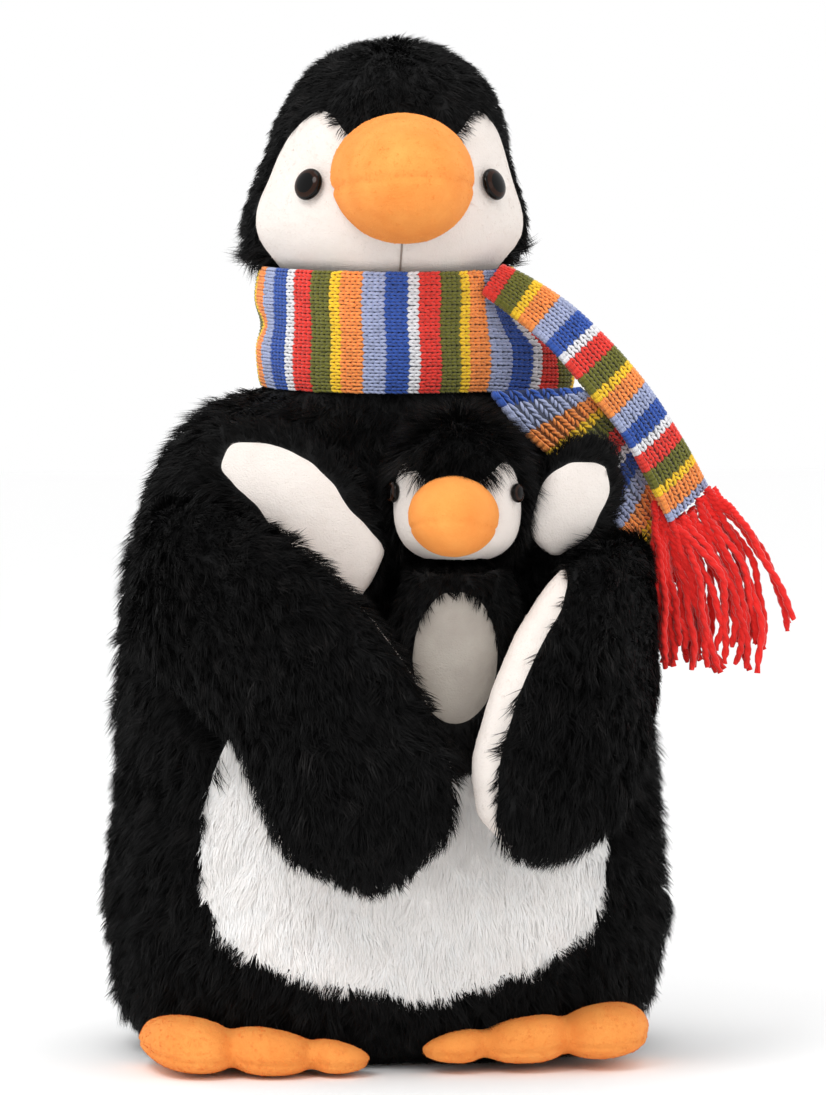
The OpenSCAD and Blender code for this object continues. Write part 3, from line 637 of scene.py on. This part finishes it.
def knit(name, place, colours, body, closed=False, seed=1):
    """Cloth strip with a V-shaped stitch for each course and wale. place(s, t) gives points and
    normals, with s along the strip and t across it, both 0 to 1. colours has one entry per course."""
    courses = len(colours)
    rng = np.random.default_rng(seed)
    s, t = np.meshgrid(np.linspace(0, 1, courses + 1), np.linspace(0, 1, WALES + 1), indexing="ij")
    front, normal = place(s.ravel(), t.ravel())
    back = front - normal * 1.2 * MM
    grid = np.arange((courses + 1) * (WALES + 1)).reshape(courses + 1, WALES + 1)
    a, b, c, d = grid[:-1, :-1], grid[1:, :-1], grid[1:, 1:], grid[:-1, 1:]
    under = grid.size
    walls = [np.stack(q, -1).reshape(-1, 4) for q in (
        (a, b, c, d), (a + under, d + under, c + under, b + under),
        (a[:, 0], a[:, 0] + under, b[:, 0] + under, b[:, 0]),
        (d[:, -1], c[:, -1], c[:, -1] + under, d[:, -1] + under))]
    # painted shade: the cloth under the stitches gets the darkened third material of its colour, which
    # shades the holes between the stitches
    painted_shade_slot = colours * 3 + 2
    slots = [np.repeat(painted_shade_slot, WALES), np.repeat(painted_shade_slot, WALES), painted_shade_slot, painted_shade_slot]
    if not closed:
        walls += [np.stack(q, -1).reshape(-1, 4) for q in (
            (a[0], d[0], d[0] + under, a[0] + under), (b[-1], b[-1] + under, c[-1] + under, c[-1]))]
        slots += [np.full(WALES, painted_shade_slot[0]), np.full(WALES, painted_shade_slot[-1])]
    cloth = from_arrays(name, np.concatenate([front, back]), [np.concatenate(walls)], KNIT_MATS,
                        np.concatenate(slots))
    if closed:
        weld(cloth)
    # each stitch has two legs; a leg starts under the stitch before and dives under the next
    i, j = (x.ravel() for x in np.meshgrid(np.arange(courses), np.arange(WALES), indexing="ij"))
    wander = rng.normal(0, 0.035, (2, len(i)))
    legs, tones = [], []
    for way in (-1, 1):
        line, up = [], None
        for along, out, lift in LEG:
            u = (i + 0.5 + along + wander[0]) / courses
            v = np.clip((j + 0.5 + way * out + wander[1]) / WALES, 0.004, 0.996)
            point, up = place(u if closed else np.clip(u, 0, 1), v)
            line.append(point + up * lift * MM)
        legs.append(tubes(np.stack(line, 1), up, (0.42, 0.63, 0.66, 0.42)))
        tones.append(colours[i] * 3 + (rng.random(len(i)) < 0.35))
    shift = len(legs[0][0])
    per = len(legs[0][1]) // len(i)
    stitches = from_arrays(name + "_stitches", np.concatenate([legs[0][0], legs[1][0]]),
                           [np.concatenate([legs[0][1], legs[1][1] + shift])], KNIT_MATS,
                           np.concatenate([np.repeat(x, per) for x in tones]))
    for piece in (cloth, stitches):
        attach(piece, body)
    return cloth, stitches


def weld(obj):
    bm = bmesh.new()
    bm.from_mesh(obj.data)
    bmesh.ops.remove_doubles(bm, verts=bm.verts, dist=0.05 * MM)
    bm.to_mesh(obj.data)
    bm.free()


def tube_faces(rings, sides):
    """Faces of an open tube whose points go ring by ring."""
    k, a = (x.ravel() for x in np.meshgrid(np.arange(rings - 1), np.arange(sides), indexing="ij"))
    b = (a + 1) % sides
    return np.stack([k * sides + a, k * sides + b, (k + 1) * sides + b, (k + 1) * sides + a], -1)


def tubes(lines, normal, radii, sides=5):
    """Open tubes along short lines of points; radii in mm. Returns points and faces."""
    count, rings = lines.shape[:2]
    along = unit(np.gradient(lines, axis=1))
    side = unit(np.cross(along, normal[:, None]))
    up = np.cross(side, along)
    turn = (np.arange(sides) + 0.5) / sides * 2 * math.pi
    radii = (np.array(radii) * MM)[None, :, None, None]
    co = lines[:, :, None] + radii * (side[:, :, None] * np.cos(turn)[None, None, :, None]
                                      + up[:, :, None] * np.sin(turn)[None, None, :, None])
    faces = (np.arange(count) * rings * sides)[:, None, None] + tube_faces(rings, sides)[None]
    return co.reshape(-1, 3), faces.reshape(-1, 4)


def wrap_place():
    """Places on the outside of the CAD neck band, with soft folds. s runs from the back round the
    toy's right side, and equal steps of s are equal lengths of scarf. Also gives the length round."""
    low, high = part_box("scarf_wrap")
    middle_y = HINGE["head_turn"][1]
    turns, rows = 180, 24
    angles = np.linspace(-math.pi, math.pi, turns + 1)
    heights = np.linspace(0, 1, rows + 1)
    radius = np.empty((turns + 1, rows + 1))
    cad = tree("scarf_wrap")
    reach, usual = 120 * MM, 53 * MM
    for i, a in enumerate(angles):
        way = Vector((math.sin(a), -math.cos(a), 0))
        droop = 2.2 * MM * max(0.0, math.cos(a))
        for j, h in enumerate(heights):
            z = lerp(low.z + 2.4 * MM, high.z - 0.3 * MM, h) - droop
            hit = cad.ray_cast(Vector((0, middle_y, z)) + way * reach, -way, reach)
            radius[i, j] = reach - hit[3] if hit[0] is not None else usual
    # a blur takes away the facets
    for _ in range(5):
        ring = radius[:-1]
        ring = (np.roll(ring, 1, 0) + 2 * ring + np.roll(ring, -1, 0)) / 4
        radius = np.concatenate([ring, ring[:1]])
    middle = radius[:, 8]
    steps = np.hypot(np.diff(middle * np.sin(angles)), np.diff(middle * np.cos(angles)))
    travel = np.concatenate([[0], np.cumsum(steps)])

    def place(s, t):
        s = np.mod(s, 1.0)
        x = np.interp(s * travel[-1], travel, np.arange(turns + 1.0))
        y = np.clip(t, 0, 1) * rows
        i, j = np.minimum(x.astype(int), turns - 1), np.minimum(y.astype(int), rows - 1)
        fx, fy = x - i, y - j
        a = x / turns * 2 * math.pi - math.pi
        lower = lerp(radius[i, j], radius[i + 1, j], fx)
        upper = lerp(radius[i, j + 1], radius[i + 1, j + 1], fx)
        r = lerp(lower, upper, fy)
        mid = np.sin(math.pi * t)
        fold = (0.9 * np.sin(a * 5 + 3.1 * t + 1.0) * mid
                - 4.2 * np.exp(-((a + 1.50) / 0.30) ** 2 - ((t - 0.52) / 0.13) ** 2)
                - 2.2 * np.exp(-((a - 0.95) / 0.13) ** 2 - ((t - 0.62) / 0.22) ** 2)
                - 2.6 * np.exp(-((a - 1.20) / 0.12) ** 2 - ((t - 0.38) / 0.20) ** 2)) * MM
        roll = -1.3 * MM * (np.exp(-t / 0.05) + np.exp(-(1 - t) / 0.05))
        z = lerp(low.z + 2.0 * MM, high.z, t) - 2.2 * MM * np.maximum(0, np.cos(a))
        z -= 3.5 * MM * np.exp(-((a - 1.25) / 0.35) ** 2) * (1 - t)
        lean = (0.5 * np.sin(2.2 * math.pi * t + 3 * a) * mid
                + 3.5 * np.exp(-((a - 0.95) / 0.25) ** 2) * np.sin(2 * math.pi * t)) * MM
        r = r + fold + roll - 0.9 * MM
        a = a + lean / r
        out = np.stack([np.sin(a), -np.cos(a), np.zeros_like(a)], 1)
        return out * r[:, None] + np.stack([0 * z, 0 * z + middle_y, z], 1), out

    return place, high.z - low.z, travel[-1]


def tail_place(rows, start_shear=0.0):
    """Places round a strip folded double along its length: t = 0 and 1 are its two edges at the back."""
    rows = np.array(rows) * np.array([1, MM, MM, MM, 1, MM])
    half = 2.4 * MM
    # equal steps of s are equal lengths
    fine = np.linspace(0, 1, 200)
    line = np.stack([np.interp(fine, rows[:, 0], rows[:, k]) for k in range(1, 6)], 1)
    for _ in range(160):
        line[1:-1] = (line[:-2] + 2 * line[1:-1] + line[2:]) / 4
    travel = np.concatenate([[0], np.cumsum(np.linalg.norm(np.diff(line[:, :3], axis=0), axis=1))])
    travel /= travel[-1]

    def place(s, t):
        s = np.clip(s, 0, 1)
        where = np.interp(s, travel, fine)
        col = [np.interp(where, fine, line[:, k]) for k in range(5)]
        centre = np.stack(col[:3], 1)
        ahead = np.stack([np.interp(np.minimum(where + 0.03, 1), fine, line[:, k]) for k in range(3)], 1)
        behind = np.stack([np.interp(np.maximum(where - 0.03, 0), fine, line[:, k]) for k in range(3)], 1)
        turn = np.radians(col[3])
        face = np.stack([np.sin(turn), -np.cos(turn), 0 * turn], 1)
        way = unit(ahead - behind)
        across = unit(np.cross(face, way))
        out = unit(np.cross(way, across))
        turn = 2 * math.pi * (t - 0.5)
        u = np.clip(np.sin(turn) * 1.25, -1, 1) * (col[4] - half * 0.6)
        u += np.sign(np.sin(turn)) * half * 0.6 * np.abs(np.sin(turn)) ** 6
        depth = np.cos(turn)
        puff = half * (1 + 0.25 * np.sin(where * 17)) * np.cos(u / col[4] * 1.2) ** 0.5
        bulge = puff * np.sign(depth) * np.abs(depth) ** 0.5
        slide = start_shear * MM * (1 - s) ** 3 * u / col[4]
        point = centre + across * u[:, None] + out * bulge[:, None] + way * slide[:, None]
        normal = unit(out * (np.sign(depth) * np.abs(depth) ** 0.4)[:, None]
                      + across * (np.sin(turn) ** 3)[:, None])
        return point, normal

    return place


# place along the tail, x, y and z in mm, direction the face looks in degrees, half width in mm
FRONT_TAIL = [[0, 37, -43.5, 308.5, 36, 7.0], [0.07, 43, -46, 305, 34, 7.8],
              [0.15, 50.5, -46.5, 300, 32, 8.5], [0.27, 63.5, -50, 290.5, 31, 9.6],
              [0.4, 75, -52.5, 278, 32, 10.4], [0.52, 85, -52.5, 266.5, 34, 10.8],
              [0.65, 95, -50, 254.5, 36, 11], [0.78, 103.5, -46.2, 241, 38, 11.6],
              [0.9, 110.5, -43, 229.5, 39, 12.2], [1, 116, -40, 219.5, 40, 12.6]]
BACK_TAIL = [[0, 52, -58.5, 265, 20, 14.5], [0.1, 57, -58.5, 259, 23, 14.7], [0.3, 70, -54, 248, 34, 15],
             [0.45, 79.5, -48, 239, 41, 15], [0.6, 89, -42, 228, 48, 15], [0.72, 96, -36.5, 218.5, 54, 14.5],
             [0.85, 102, -31, 209, 60, 14], [1, 106, -26, 199.5, 64, 13.5]]


def yarn_strand(line, radius, turns, seed):
    """Two plies twisted round each other along a line of points. Returns points and faces."""
    rng = np.random.default_rng(seed)
    count, sides = 40, 6
    at = np.linspace(0, 1, count)
    know = np.linspace(0, 1, len(line))
    centre = np.stack([np.interp(at, know, line[:, k]) for k in range(3)], 1)
    for _ in range(40):
        centre[1:-1] = (centre[:-2] + 2 * centre[1:-1] + centre[2:]) / 4
    wave = rng.uniform(0, 6.28, 4)
    size = 1.3 * MM * np.sin(math.pi * at / 2)
    centre[:, 0] += size * np.sin(at * 7 + wave[0]) + 0.4 * MM * np.sin(at * 23 + wave[2])
    centre[:, 1] += size * np.sin(at * 6 + wave[1]) + 0.4 * MM * np.sin(at * 19 + wave[3])
    along = unit(np.gradient(centre, axis=0))
    side = unit(np.cross(along, [0.0, 1.0, 0.2]))
    up = np.cross(side, along)
    lines, widths = [], np.where(at < 0.96, 1.0, 0.7)
    for ply in (0, math.pi):
        spin = (at * turns * 2 * math.pi + ply)[:, None]
        lines.append(centre + (side * np.cos(spin) + up * np.sin(spin)) * radius * 0.32)
    turn = np.arange(sides) / sides * 2 * math.pi
    ply_radius = (radius * 0.76 * widths)[:, None, None]
    co, faces = [], []
    for first, middle in enumerate(lines):
        ring = middle[:, None] + (side[:, None] * np.cos(turn)[None, :, None]
                                  + up[:, None] * np.sin(turn)[None, :, None]) * ply_radius
        co.append(ring.reshape(-1, 3))
        faces.append(tube_faces(count, sides) + first * count * sides)
    return np.concatenate(co), np.concatenate(faces)


def fringe(name, node, tops, spread, count, longest, body, seed):
    """Red yarn tied into the end of a tail, falling inside its CAD solid's box."""
    low, high = (np.array(c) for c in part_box(node))
    rng = np.random.default_rng(seed)
    tops = np.array(tops) * MM
    co, faces, slots, total = [], [], [], 0
    for i in range(count):
        f = (i + 0.5) / count
        know = np.linspace(0, 1, len(tops))
        top = np.array([np.interp(f, know, tops[:, k]) for k in range(3)]) + rng.normal(0, 0.8, 3) * MM
        g = np.clip(spread(f) + rng.normal(0, 0.07), 0.02, 1.02)
        end = np.array([lerp(low[0], high[0], g), lerp(low[1], high[1], rng.random()),
                        lerp(low[2], high[2], longest(g)) + rng.uniform(0, 14) * MM])
        start = top + (end - top) * 0.12
        bend = np.array([(end[0] - top[0]) * 0.16, 0, 2 * MM]) + rng.normal(0, 3.2, 3) * MM
        line = np.array([top, start, lerp(top, end, 0.38) + bend, lerp(top, end, 0.72) + bend * 0.9, end])
        points, found = yarn_strand(line, 1.5 * MM, 6 + rng.random() * 3, seed * 100 + i)
        faces.append(found + total)
        slots += [int(rng.integers(0, 2))] * len(found)
        total += len(points)
        co.append(points)
    reds = []
    for k, colour in enumerate(((0.80, 0.022, 0.018), (0.68, 0.015, 0.012))):
        mat = material(f"{name}_yarn_{k}", colour, 0.75, Sheen_Weight=0.3, Sheen_Roughness=0.4,
                       Specular_IOR_Level=0.2)
        bumpy(mat, [noise_of(mat, 2600, 2)], 0.15 * MM)
        ramp(mat, noise_of(mat, 400, 2), 0.65, 0.85, "Roughness")
        reds.append(mat)
    made = from_arrays(name, np.concatenate(co), [np.concatenate(faces)], reds, slots)
    return attach(made, body)


def make_scarf():
    knit_materials()
    place, wide, around = wrap_place()
    repeat = colours_of(STRIPES)
    courses = round(around / COURSE)
    # an olive stripe starts 23 courses to the toy's right of its front
    colours = repeat[(np.arange(courses) - courses // 2 + 23) % len(repeat)]
    cloth, stitches = knit("scarf_band", place, colours, "torso", True, 4)
    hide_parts("scarf_wrap")
    down = [("red", 3)] + STRIPES * 2 + STRIPES[:3] + [("grey", 2)]
    up = ([("blue", 2)] + [STRIPES[k] for k in (3, 2, 1, 0, 6, 5, 4, 3, 2, 1, 0)] + [("red", 2)])
    tails = (("front", FRONT_TAIL, down, 0.0, 21), ("back", BACK_TAIL, up, 11.0, 22))
    for side, rows, stripes, shear, seed in tails:
        body = f"scarf_{side}"
        cloth, stitches = knit(f"scarf_tail_cloth_{side}", tail_place(rows, shear), colours_of(stripes),
                               body, False, seed)
        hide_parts(f"scarf_tail_{side}")
        if side == "front":
            yarns = fringe("fringe_yarn_front", "scarf_fringe_front",
                           [[102.5, -43.5, 220], [106, -44, 215.5], [111, -43.5, 213], [119, -41, 219],
                            [126, -38.5, 226.5]],
                           lambda f: 0.8 * f if f < 0.86 else 0.68 + 2.2 * (f - 0.86), 50,
                           lambda g: 0.02 + 0.9 * max(0, g - 0.72), body, 5)
        else:
            yarns = fringe("fringe_yarn_back", "scarf_fringe_back",
                           [[104.0, -28.5, 196.0], [115.0, -16.0, 201.0]],
                           lambda f: 0.1 + 0.75 * f, 10, lambda g: 0.02, body, 6)
        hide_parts(f"scarf_fringe_{side}")


# ---------- stuffed forms ----------

def narrow(obj):
    """Draws in the toy's left shoulder, which is slimmer than the other."""
    co = positions(obj.data)
    over = np.maximum(co[:, 0] - 93 * MM, 0)
    co[:, 0] -= 0.45 * over * np.clip((co[:, 2] - 130 * MM) / (30 * MM), 0, 1)
    set_positions(obj.data, co)


def outer_left(points, normals):
    """1 on the outer side of the toy's left shoulder, 0 elsewhere."""
    return (np.clip(normals[:, 0] * 2 - 0.6, 0, 1) * np.clip((points[:, 0] - 70 * MM) / (15 * MM), 0, 1)
            * np.clip((points[:, 2] - 120 * MM) / (30 * MM), 0, 1))


def combed(sideways):
    """Pile combed downwards and a little outwards."""
    def flow(points):
        way = np.tile(DOWN, (len(points), 1))
        way[:, 0] += sideways * points[:, 0] / 0.1
        return way
    return flow


def make_body():
    panels = ["front_panel_right", "front_panel_left", "back_panel_right", "back_panel_left"]
    body = skin("body_skin", [panels, ["belly_panel"], ["base_panel"]], ["body_stuffing"],
                [BLACK_CLOTH, WHITE_CLOTH, BASE_CLOTH], 1.6 * MM, 4 * MM, 12, "torso", 1.6 * MM)
    narrow(body)
    # black pile hides the lowest part of the belly patch
    recolour(body, 1, 0, lambda p: 7 * MM * np.clip((60 * MM - p[:, 2]) / (15 * MM), 0, 1))
    band_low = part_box("scarf_wrap")[0].z
    points, normals = roots_on(body, 1.45, 11, [0])
    kept = (points[:, 2] < band_low + 4 * MM) & (normals[:, 2] > -0.93)
    points, normals = points[kept], normals[kept]
    near_base = np.clip(points[:, 2] / (22 * MM), 0.35, 1)
    under_scarf = np.clip((band_low + 5 * MM - points[:, 2]) / (14 * MM), 0.25, 1)
    size = 10.5 * MM * near_base * under_scarf * (1 + 0.25 * lumps(points, 45, 8))
    size *= 1 - 0.5 * outer_left(points, normals)
    sew("body_pile", points, normals, combed(0.25)(points), size, BLACKS, 31, "torso", "black_long_pile")
    points, normals = roots_on(body, 2.4, 12, [1])
    size = 8 * MM * (1 + 0.2 * lumps(points, 60, 9))
    sew("belly_pile", points, normals, combed(0.12)(points), size, WHITES, 33, "torso", "white_long_pile",
        lift=(25, 6), width=0.42 * MM, per_clump=60, turn=10.0, own_turn=10.0, odd=(0.5, 0.2, 0.3),
        twist=0.2)


def make_feet():
    for side in ("right", "left"):
        top, sole = f"foot_{side}_top", f"foot_{side}_sole"
        foot = skin(f"foot_{side}_skin", [[top], [sole]], [f"foot_{side}_stuffing"],
                    [ORANGE_VELVET, ORANGE_VELVET], 0.9 * MM, 1.3 * MM, 7, "torso")
        groove(foot, [top], [sole], 0.9 * MM, 0.8 * MM)
        fuzz(f"foot_{side}_pile", foot, None, 3.6, 1.1 * MM, ORANGES, 41, "torso", "orange_short_pile",
             flow=np.array([0.0, -1.0, -0.3]))


def head_flow(points):
    """The crown's pile is combed back and down from the face, and down over the forehead."""
    angle = np.arctan2(points[:, 0], -points[:, 1])
    share = np.clip((np.degrees(np.abs(angle)) - 24) / 14, 0, 1)[:, None]
    back = np.stack([np.cos(angle), np.sin(angle), 0 * angle], 1) * np.sign(angle)[:, None]
    out = np.stack([np.sin(angle), -np.cos(angle), 0 * angle], 1)
    return DOWN * 0.85 + out * 0.3 * (1 - share) + back * share * 0.8


def make_head():
    crowns, faces = ["crown_right", "crown_left"], ["face_right", "face_left"]
    head = skin("head_skin", [crowns, faces], ["head_stuffing"], [BLACK_CLOTH, CREAM_VELVET],
                1.3 * MM, 2.2 * MM, 12, "head")
    groove(head, ["face_right"], ["face_left"], 0.8 * MM, 0.8 * MM)
    top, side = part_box("crown_right")[1].z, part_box("crown_left")[1].x
    band_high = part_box("scarf_wrap")[1].z
    points, normals = roots_on(head, 2.0, 13, [0])
    kept = points[:, 2] > band_high - 1 * MM
    points, normals = points[kept], normals[kept]
    flow = head_flow(points)
    jaw = (np.exp(-((points[:, 2] - 318 * MM) / (9 * MM)) ** 2)
           * (np.abs(points[:, 0]) > 0.62 * side) * (points[:, 1] < 25 * MM))
    ridge = np.exp(-((points[:, 0] - 3 * MM) / (3 * MM)) ** 2) * (points[:, 2] > top - 25 * MM)
    flow[:, 1] -= 0.8 * ridge
    flow[:, :2] += unit(points[:, :2]) * (1.3 * jaw[:, None])
    size = (6.4 + 8.5 * jaw) * MM * (1 + 0.2 * lumps(points, 60, 10))
    sew("crown_pile", points, normals, flow, size, BLACKS, 34, "head", "black_long_pile",
        lift=(42, 10), width=0.34 * MM, per_clump=28, stand=1 + 0.35 * jaw + 0.15 * ridge)
    fuzz("face_pile", head, [1], 4.0, 1.0 * MM, CREAMS, 42, "head", "white_short_pile",
         keep=lambda p, n: p[:, 2] > band_high - 8 * MM)
    # painted shadow along the seam from the chin to the beak: a thin dark tube laid in the seam
    cast = surface_of(head.data)
    hits = [cast.ray_cast(Vector((0, -0.1, z)), Vector((0, 1, 0)))[0] for z in np.linspace(0.302, 0.334, 17)]
    line = (np.array([hit for hit in hits if hit is not None]) - [0, 0.15 * MM, 0])[None]
    co, faces = tubes(line, np.array([[0.0, -1.0, 0.0]]), [0.42] * line.shape[1])
    seam_shadow_tube = from_arrays("chin_seam_shadow", co, [faces], [material("seam_shadow", (0.33, 0.27, 0.23), 0.9)])
    bumpy(seam_shadow_tube.data.materials[0], [noise_of(seam_shadow_tube.data.materials[0], 1800, 2)], 0.1 * MM)
    attach(seam_shadow_tube, "head")
    beak = skin("beak_skin", [["beak_upper"], ["beak_lower"]], ["beak_stuffing"],
                [ORANGE_VELVET, ORANGE_VELVET], 0.9 * MM, 1.6 * MM, 16, "head")
    groove(beak, ["beak_upper"], ["beak_lower"], 1.3 * MM, 0.9 * MM)
    fuzz("beak_pile", beak, None, 4.0, 1.0 * MM, ORANGES, 43, "head", "orange_short_pile",
         flow=np.array([0.0, 1.0, -0.4]))


def lathe(name, profile, rings, mats, bands):
    """Surface of revolution about +Z from (radius, height) pairs; bands are the material of each row."""
    turn = np.linspace(0, 2 * math.pi, rings, endpoint=False)
    co = [np.stack([r * np.cos(turn), r * np.sin(turn), 0 * turn + h], 1) for r, h in profile]
    k = np.arange(rings)
    ring = np.stack([k, (k + 1) % rings, (k + 1) % rings + rings, k + rings], 1)
    walls = np.concatenate([ring + i * rings for i in range(len(profile) - 1)])
    lids = np.array([k[::-1], k + (len(profile) - 1) * rings])
    slots = np.concatenate([np.repeat(bands, rings), [bands[0], bands[-1]]])
    return from_arrays(name, np.concatenate(co), [walls, lids], mats, slots)


def make_eyes():
    """Polished domes with a dark pupil, a brown ring and a black rim, facing along their CAD stems."""
    plan = [("eye_right", -45, 17, "head"), ("eye_left", 46, 17, "head"),
            ("chick_eye_right", -74, 4, "chick_head"), ("chick_eye_left", 50, 4, "chick_head")]
    mats = [material("eye_" + part, colour, 0.06, IOR=1.25)
            for part, colour in (("pupil", (0.0015, 0.0012, 0.0012)), ("ring", (0.022, 0.008, 0.004)),
                                 ("rim", (0.003, 0.0025, 0.002)))]
    for mat in mats:
        ramp(mat, noise_of(mat, 900, 2), 0.04, 0.1, "Roughness")
    for node, turn, tilt, body in plan:
        mesh = NODES[node].data
        co = positions(mesh)
        axis = np.array(toward(turn, tilt))
        along = co @ axis
        middle = (co.max(0) + co.min(0)) / 2
        front = along.max()
        # the radius is measured from the middle of the node's box, which lies a little off the stem's
        # axis, so the dome is somewhat wider than the CAD one
        offset = co - middle
        offset -= axis * (offset @ axis)[:, None]
        rim = np.linalg.norm(offset, axis=1)
        radius = rim.max()
        centre = co[rim > radius * 0.9].mean(0)
        centre = centre + axis * (front - centre @ axis)
        height = 0.44 * radius
        steps = np.linspace(0, 1, 17)
        profile = [(radius * 0.9, -height - 1.2 * MM), (radius, -height - 0.5 * MM)]
        profile += [(radius * math.cos(s * math.pi / 2) + 1e-5, -height + height * math.sin(s * math.pi / 2))
                    for s in steps]
        bands = []
        for r, _ in profile[1:]:
            share = r / radius
            bands.append(0 if share < 0.62 else 1 if share < 0.84 else 2)
        eye = lathe(node + "_dome", profile, 40, mats, bands)
        spin = Vector(axis).to_track_quat("Z", "Y").to_matrix().to_4x4()
        eye.data.transform(Matrix.Translation(Vector(centre)) @ spin)
        attach(eye, body)
        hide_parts(node)


def make_flippers():
    for side in ("right", "left"):
        outer, lining = f"flipper_{side}_outer", f"flipper_{side}_lining"
        body, joint = f"flipper_{side}", HINGE[f"flipper_{side}_open"]
        form = skin(f"flipper_{side}_skin", [[outer], [lining]], [f"flipper_{side}_stuffing"],
                    [BLACK_CLOTH, CREAM_VELVET], 1.3 * MM, 2.5 * MM, 14, None)
        # black pile reaches over the edge of the lining near the shoulder
        if side == "right":
            recolour(form, 1, 0, lambda p: np.where(p[:, 2] > 185 * MM, 7 * MM, 1.5 * MM))
        else:
            narrow(form)
            recolour(form, 1, 0, lambda p: 30 * MM * np.clip((p[:, 0] - 54 * MM) / (8 * MM), 0, 1)
                     * (p[:, 1] < -62 * MM))
        attach(form, body)
        tip = np.array([-16 * MM if side == "right" else 43 * MM, -115 * MM, 80 * MM])

        def flow(points):
            share = np.clip((joint[2] + 20 * MM - points[:, 2]) / (joint[2] - 60 * MM), 0, 1)[:, None]
            start = unit(np.array([tip[0] - joint[0], -60 * MM, -60 * MM]))
            return lerp(start, DOWN + 0 * start, share)

        points, normals = roots_on(form, 1.9, 14, [0])
        size = 10 * MM * (1 + 0.25 * lumps(points, 50, 12)) * (1 - 0.5 * outer_left(points, normals))
        sew(f"flipper_{side}_pile", points, normals, flow(points), size, BLACKS, 35, body,
            "black_long_pile", lift=(50, 12))
        fuzz(f"flipper_{side}_lining_pile", form, [1], 3.8, 1.0 * MM, CREAMS, 44, body, "white_short_pile",
             flow=flow)


def make_chick():
    fur_panels = ["chick_back_panel", "chick_front_panel"]
    body = skin("chick_skin", [fur_panels, ["chick_belly_patch"]], ["chick_stuffing"],
                [BLACK_CLOTH, GREY_VELVET], 0.9 * MM, 1.6 * MM, 12, "chick")
    points, normals = roots_on(body, 2.4, 15, [0])
    size = 7 * MM * (1 + 0.25 * lumps(points, 80, 13))
    sew("chick_pile", points, normals, combed(0.0)(points), size, BLACKS, 36, "chick", "black_long_pile",
        lift=(50, 14), width=0.3 * MM, per_clump=26)
    fuzz("chick_patch_pile", body, [1], 6.0, 0.8 * MM, GREYS, 45, "chick", "grey_patch", width=0.24 * MM)
    head = skin("chick_head_skin", [["chick_crown"], ["chick_face"]], ["chick_head_stuffing"],
                [BLACK_CLOTH, CREAM_VELVET], 0.9 * MM, 1.5 * MM, 12, "chick_head")
    points, normals = roots_on(head, 2.8, 16, [0])
    middle = (np.array(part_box("chick_crown")[0]) + np.array(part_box("chick_crown")[1])) / 2
    flow = np.tile(DOWN, (len(points), 1))
    flow[:, :2] += (points - middle)[:, :2] / 0.022 * 0.7
    high = np.clip((points[:, 2] - middle[2]) / (22 * MM), 0, 1)
    front = (points[:, 1] < middle[1] - 8 * MM) & (points[:, 2] < middle[2] + 16 * MM)
    size = (9 + 4 * high + 3 * front) * MM * (1 + 0.25 * lumps(points, 90, 14))
    sew("chick_crown_pile", points, normals, flow, size, BLACKS, 37, "chick_head", "black_long_pile",
        lift=(55, 18), width=0.3 * MM, per_clump=26, stand=1 + 0.35 * high)
    fuzz("chick_face_pile", head, [1], 5.0, 0.9 * MM, CREAMS, 46, "chick_head", "white_short_pile")
    beak = skin("chick_beak_skin", [["chick_beak_upper"], ["chick_beak_lower"]], ["chick_beak_stuffing"],
                [ORANGE_VELVET, ORANGE_VELVET], 0.7 * MM, 1.2 * MM, 14, "chick_head")
    groove(beak, ["chick_beak_upper"], ["chick_beak_lower"], 0.7 * MM, 0.5 * MM)
    fuzz("chick_beak_pile", beak, None, 6.0, 0.8 * MM, ORANGES, 47, "chick_head", "orange_short_pile",
         flow=np.array([0.0, 1.0, -0.4]))
    for side in ("right", "left"):
        outer, lining = f"chick_flipper_{side}_outer", f"chick_flipper_{side}_lining"
        mine = f"chick_flipper_{side}"
        form = skin(f"{mine}_skin", [[outer], [lining]], [], [BLACK_CLOTH, CREAM_VELVET],
                    0.9 * MM, 1.6 * MM, 10, mine)
        low, high = (np.array(c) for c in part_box(outer))
        if side == "right":
            # the end beside the chick's body hangs a little lower
            co = positions(form.data)
            hang = np.clip((lerp(low[2], high[2], 0.6) - co[:, 2]) / ((high[2] - low[2]) * 0.6), 0, 1)
            co[:, 2] -= 14 * MM * hang * np.clip((co[:, 0] - lerp(low[0], high[0], 0.45)) / (9 * MM), 0, 1)
            set_positions(form.data, co)
            # black pile reaches round onto the front, but not at the end beside the chick's body
            recolour(form, 1, 0, lambda p: 9 * MM * np.clip((p[:, 2] - low[2]) / (18 * MM) - 0.25, 0, 1))
        else:
            recolour(form, 1, 0, lambda p: 11 * MM * np.clip((p[:, 0] - low[0]) / (22 * MM) - 0.3, 0, 1)
                     * np.clip((p[:, 2] - low[2]) / (16 * MM) - 0.2, 0, 1))
        root = HINGE[f"chick_flipper_{side}_raise"]
        middle = (low + high) / 2
        points, normals = roots_on(form, 2.4, 17, [0])
        flow = unit(middle - root) * 0.5 + unit(points - middle) * 1.0
        size = 6.5 * MM * (1 + 0.25 * lumps(points, 80, 15))
        sew(f"{mine}_pile", points, normals, flow, size, BLACKS, 38, mine, "black_long_pile",
            lift=(48, 8), width=0.3 * MM, per_clump=26)
        fuzz(f"{mine}_lining_pile", form, [1], 4.6, 0.9 * MM, CREAMS, 48, mine, "white_short_pile",
             flow=unit(middle - root))


def finish_washers():
    """The washers inside the heads keep their CAD shape and get moulded plastic."""
    mat = material("washer_plastic", (0.8, 0.8, 0.78), 0.45)
    bumpy(mat, [noise_of(mat, 1200, 2)], 0.05 * MM)
    for name, node in NODES.items():
        if "washer" in name:
            node.data.materials.clear()
            node.data.materials.append(mat)


add_camera()
add_studio()
make_scarf()
make_body()
make_feet()
make_head()
make_eyes()
make_flippers()
make_chick()
finish_washers()
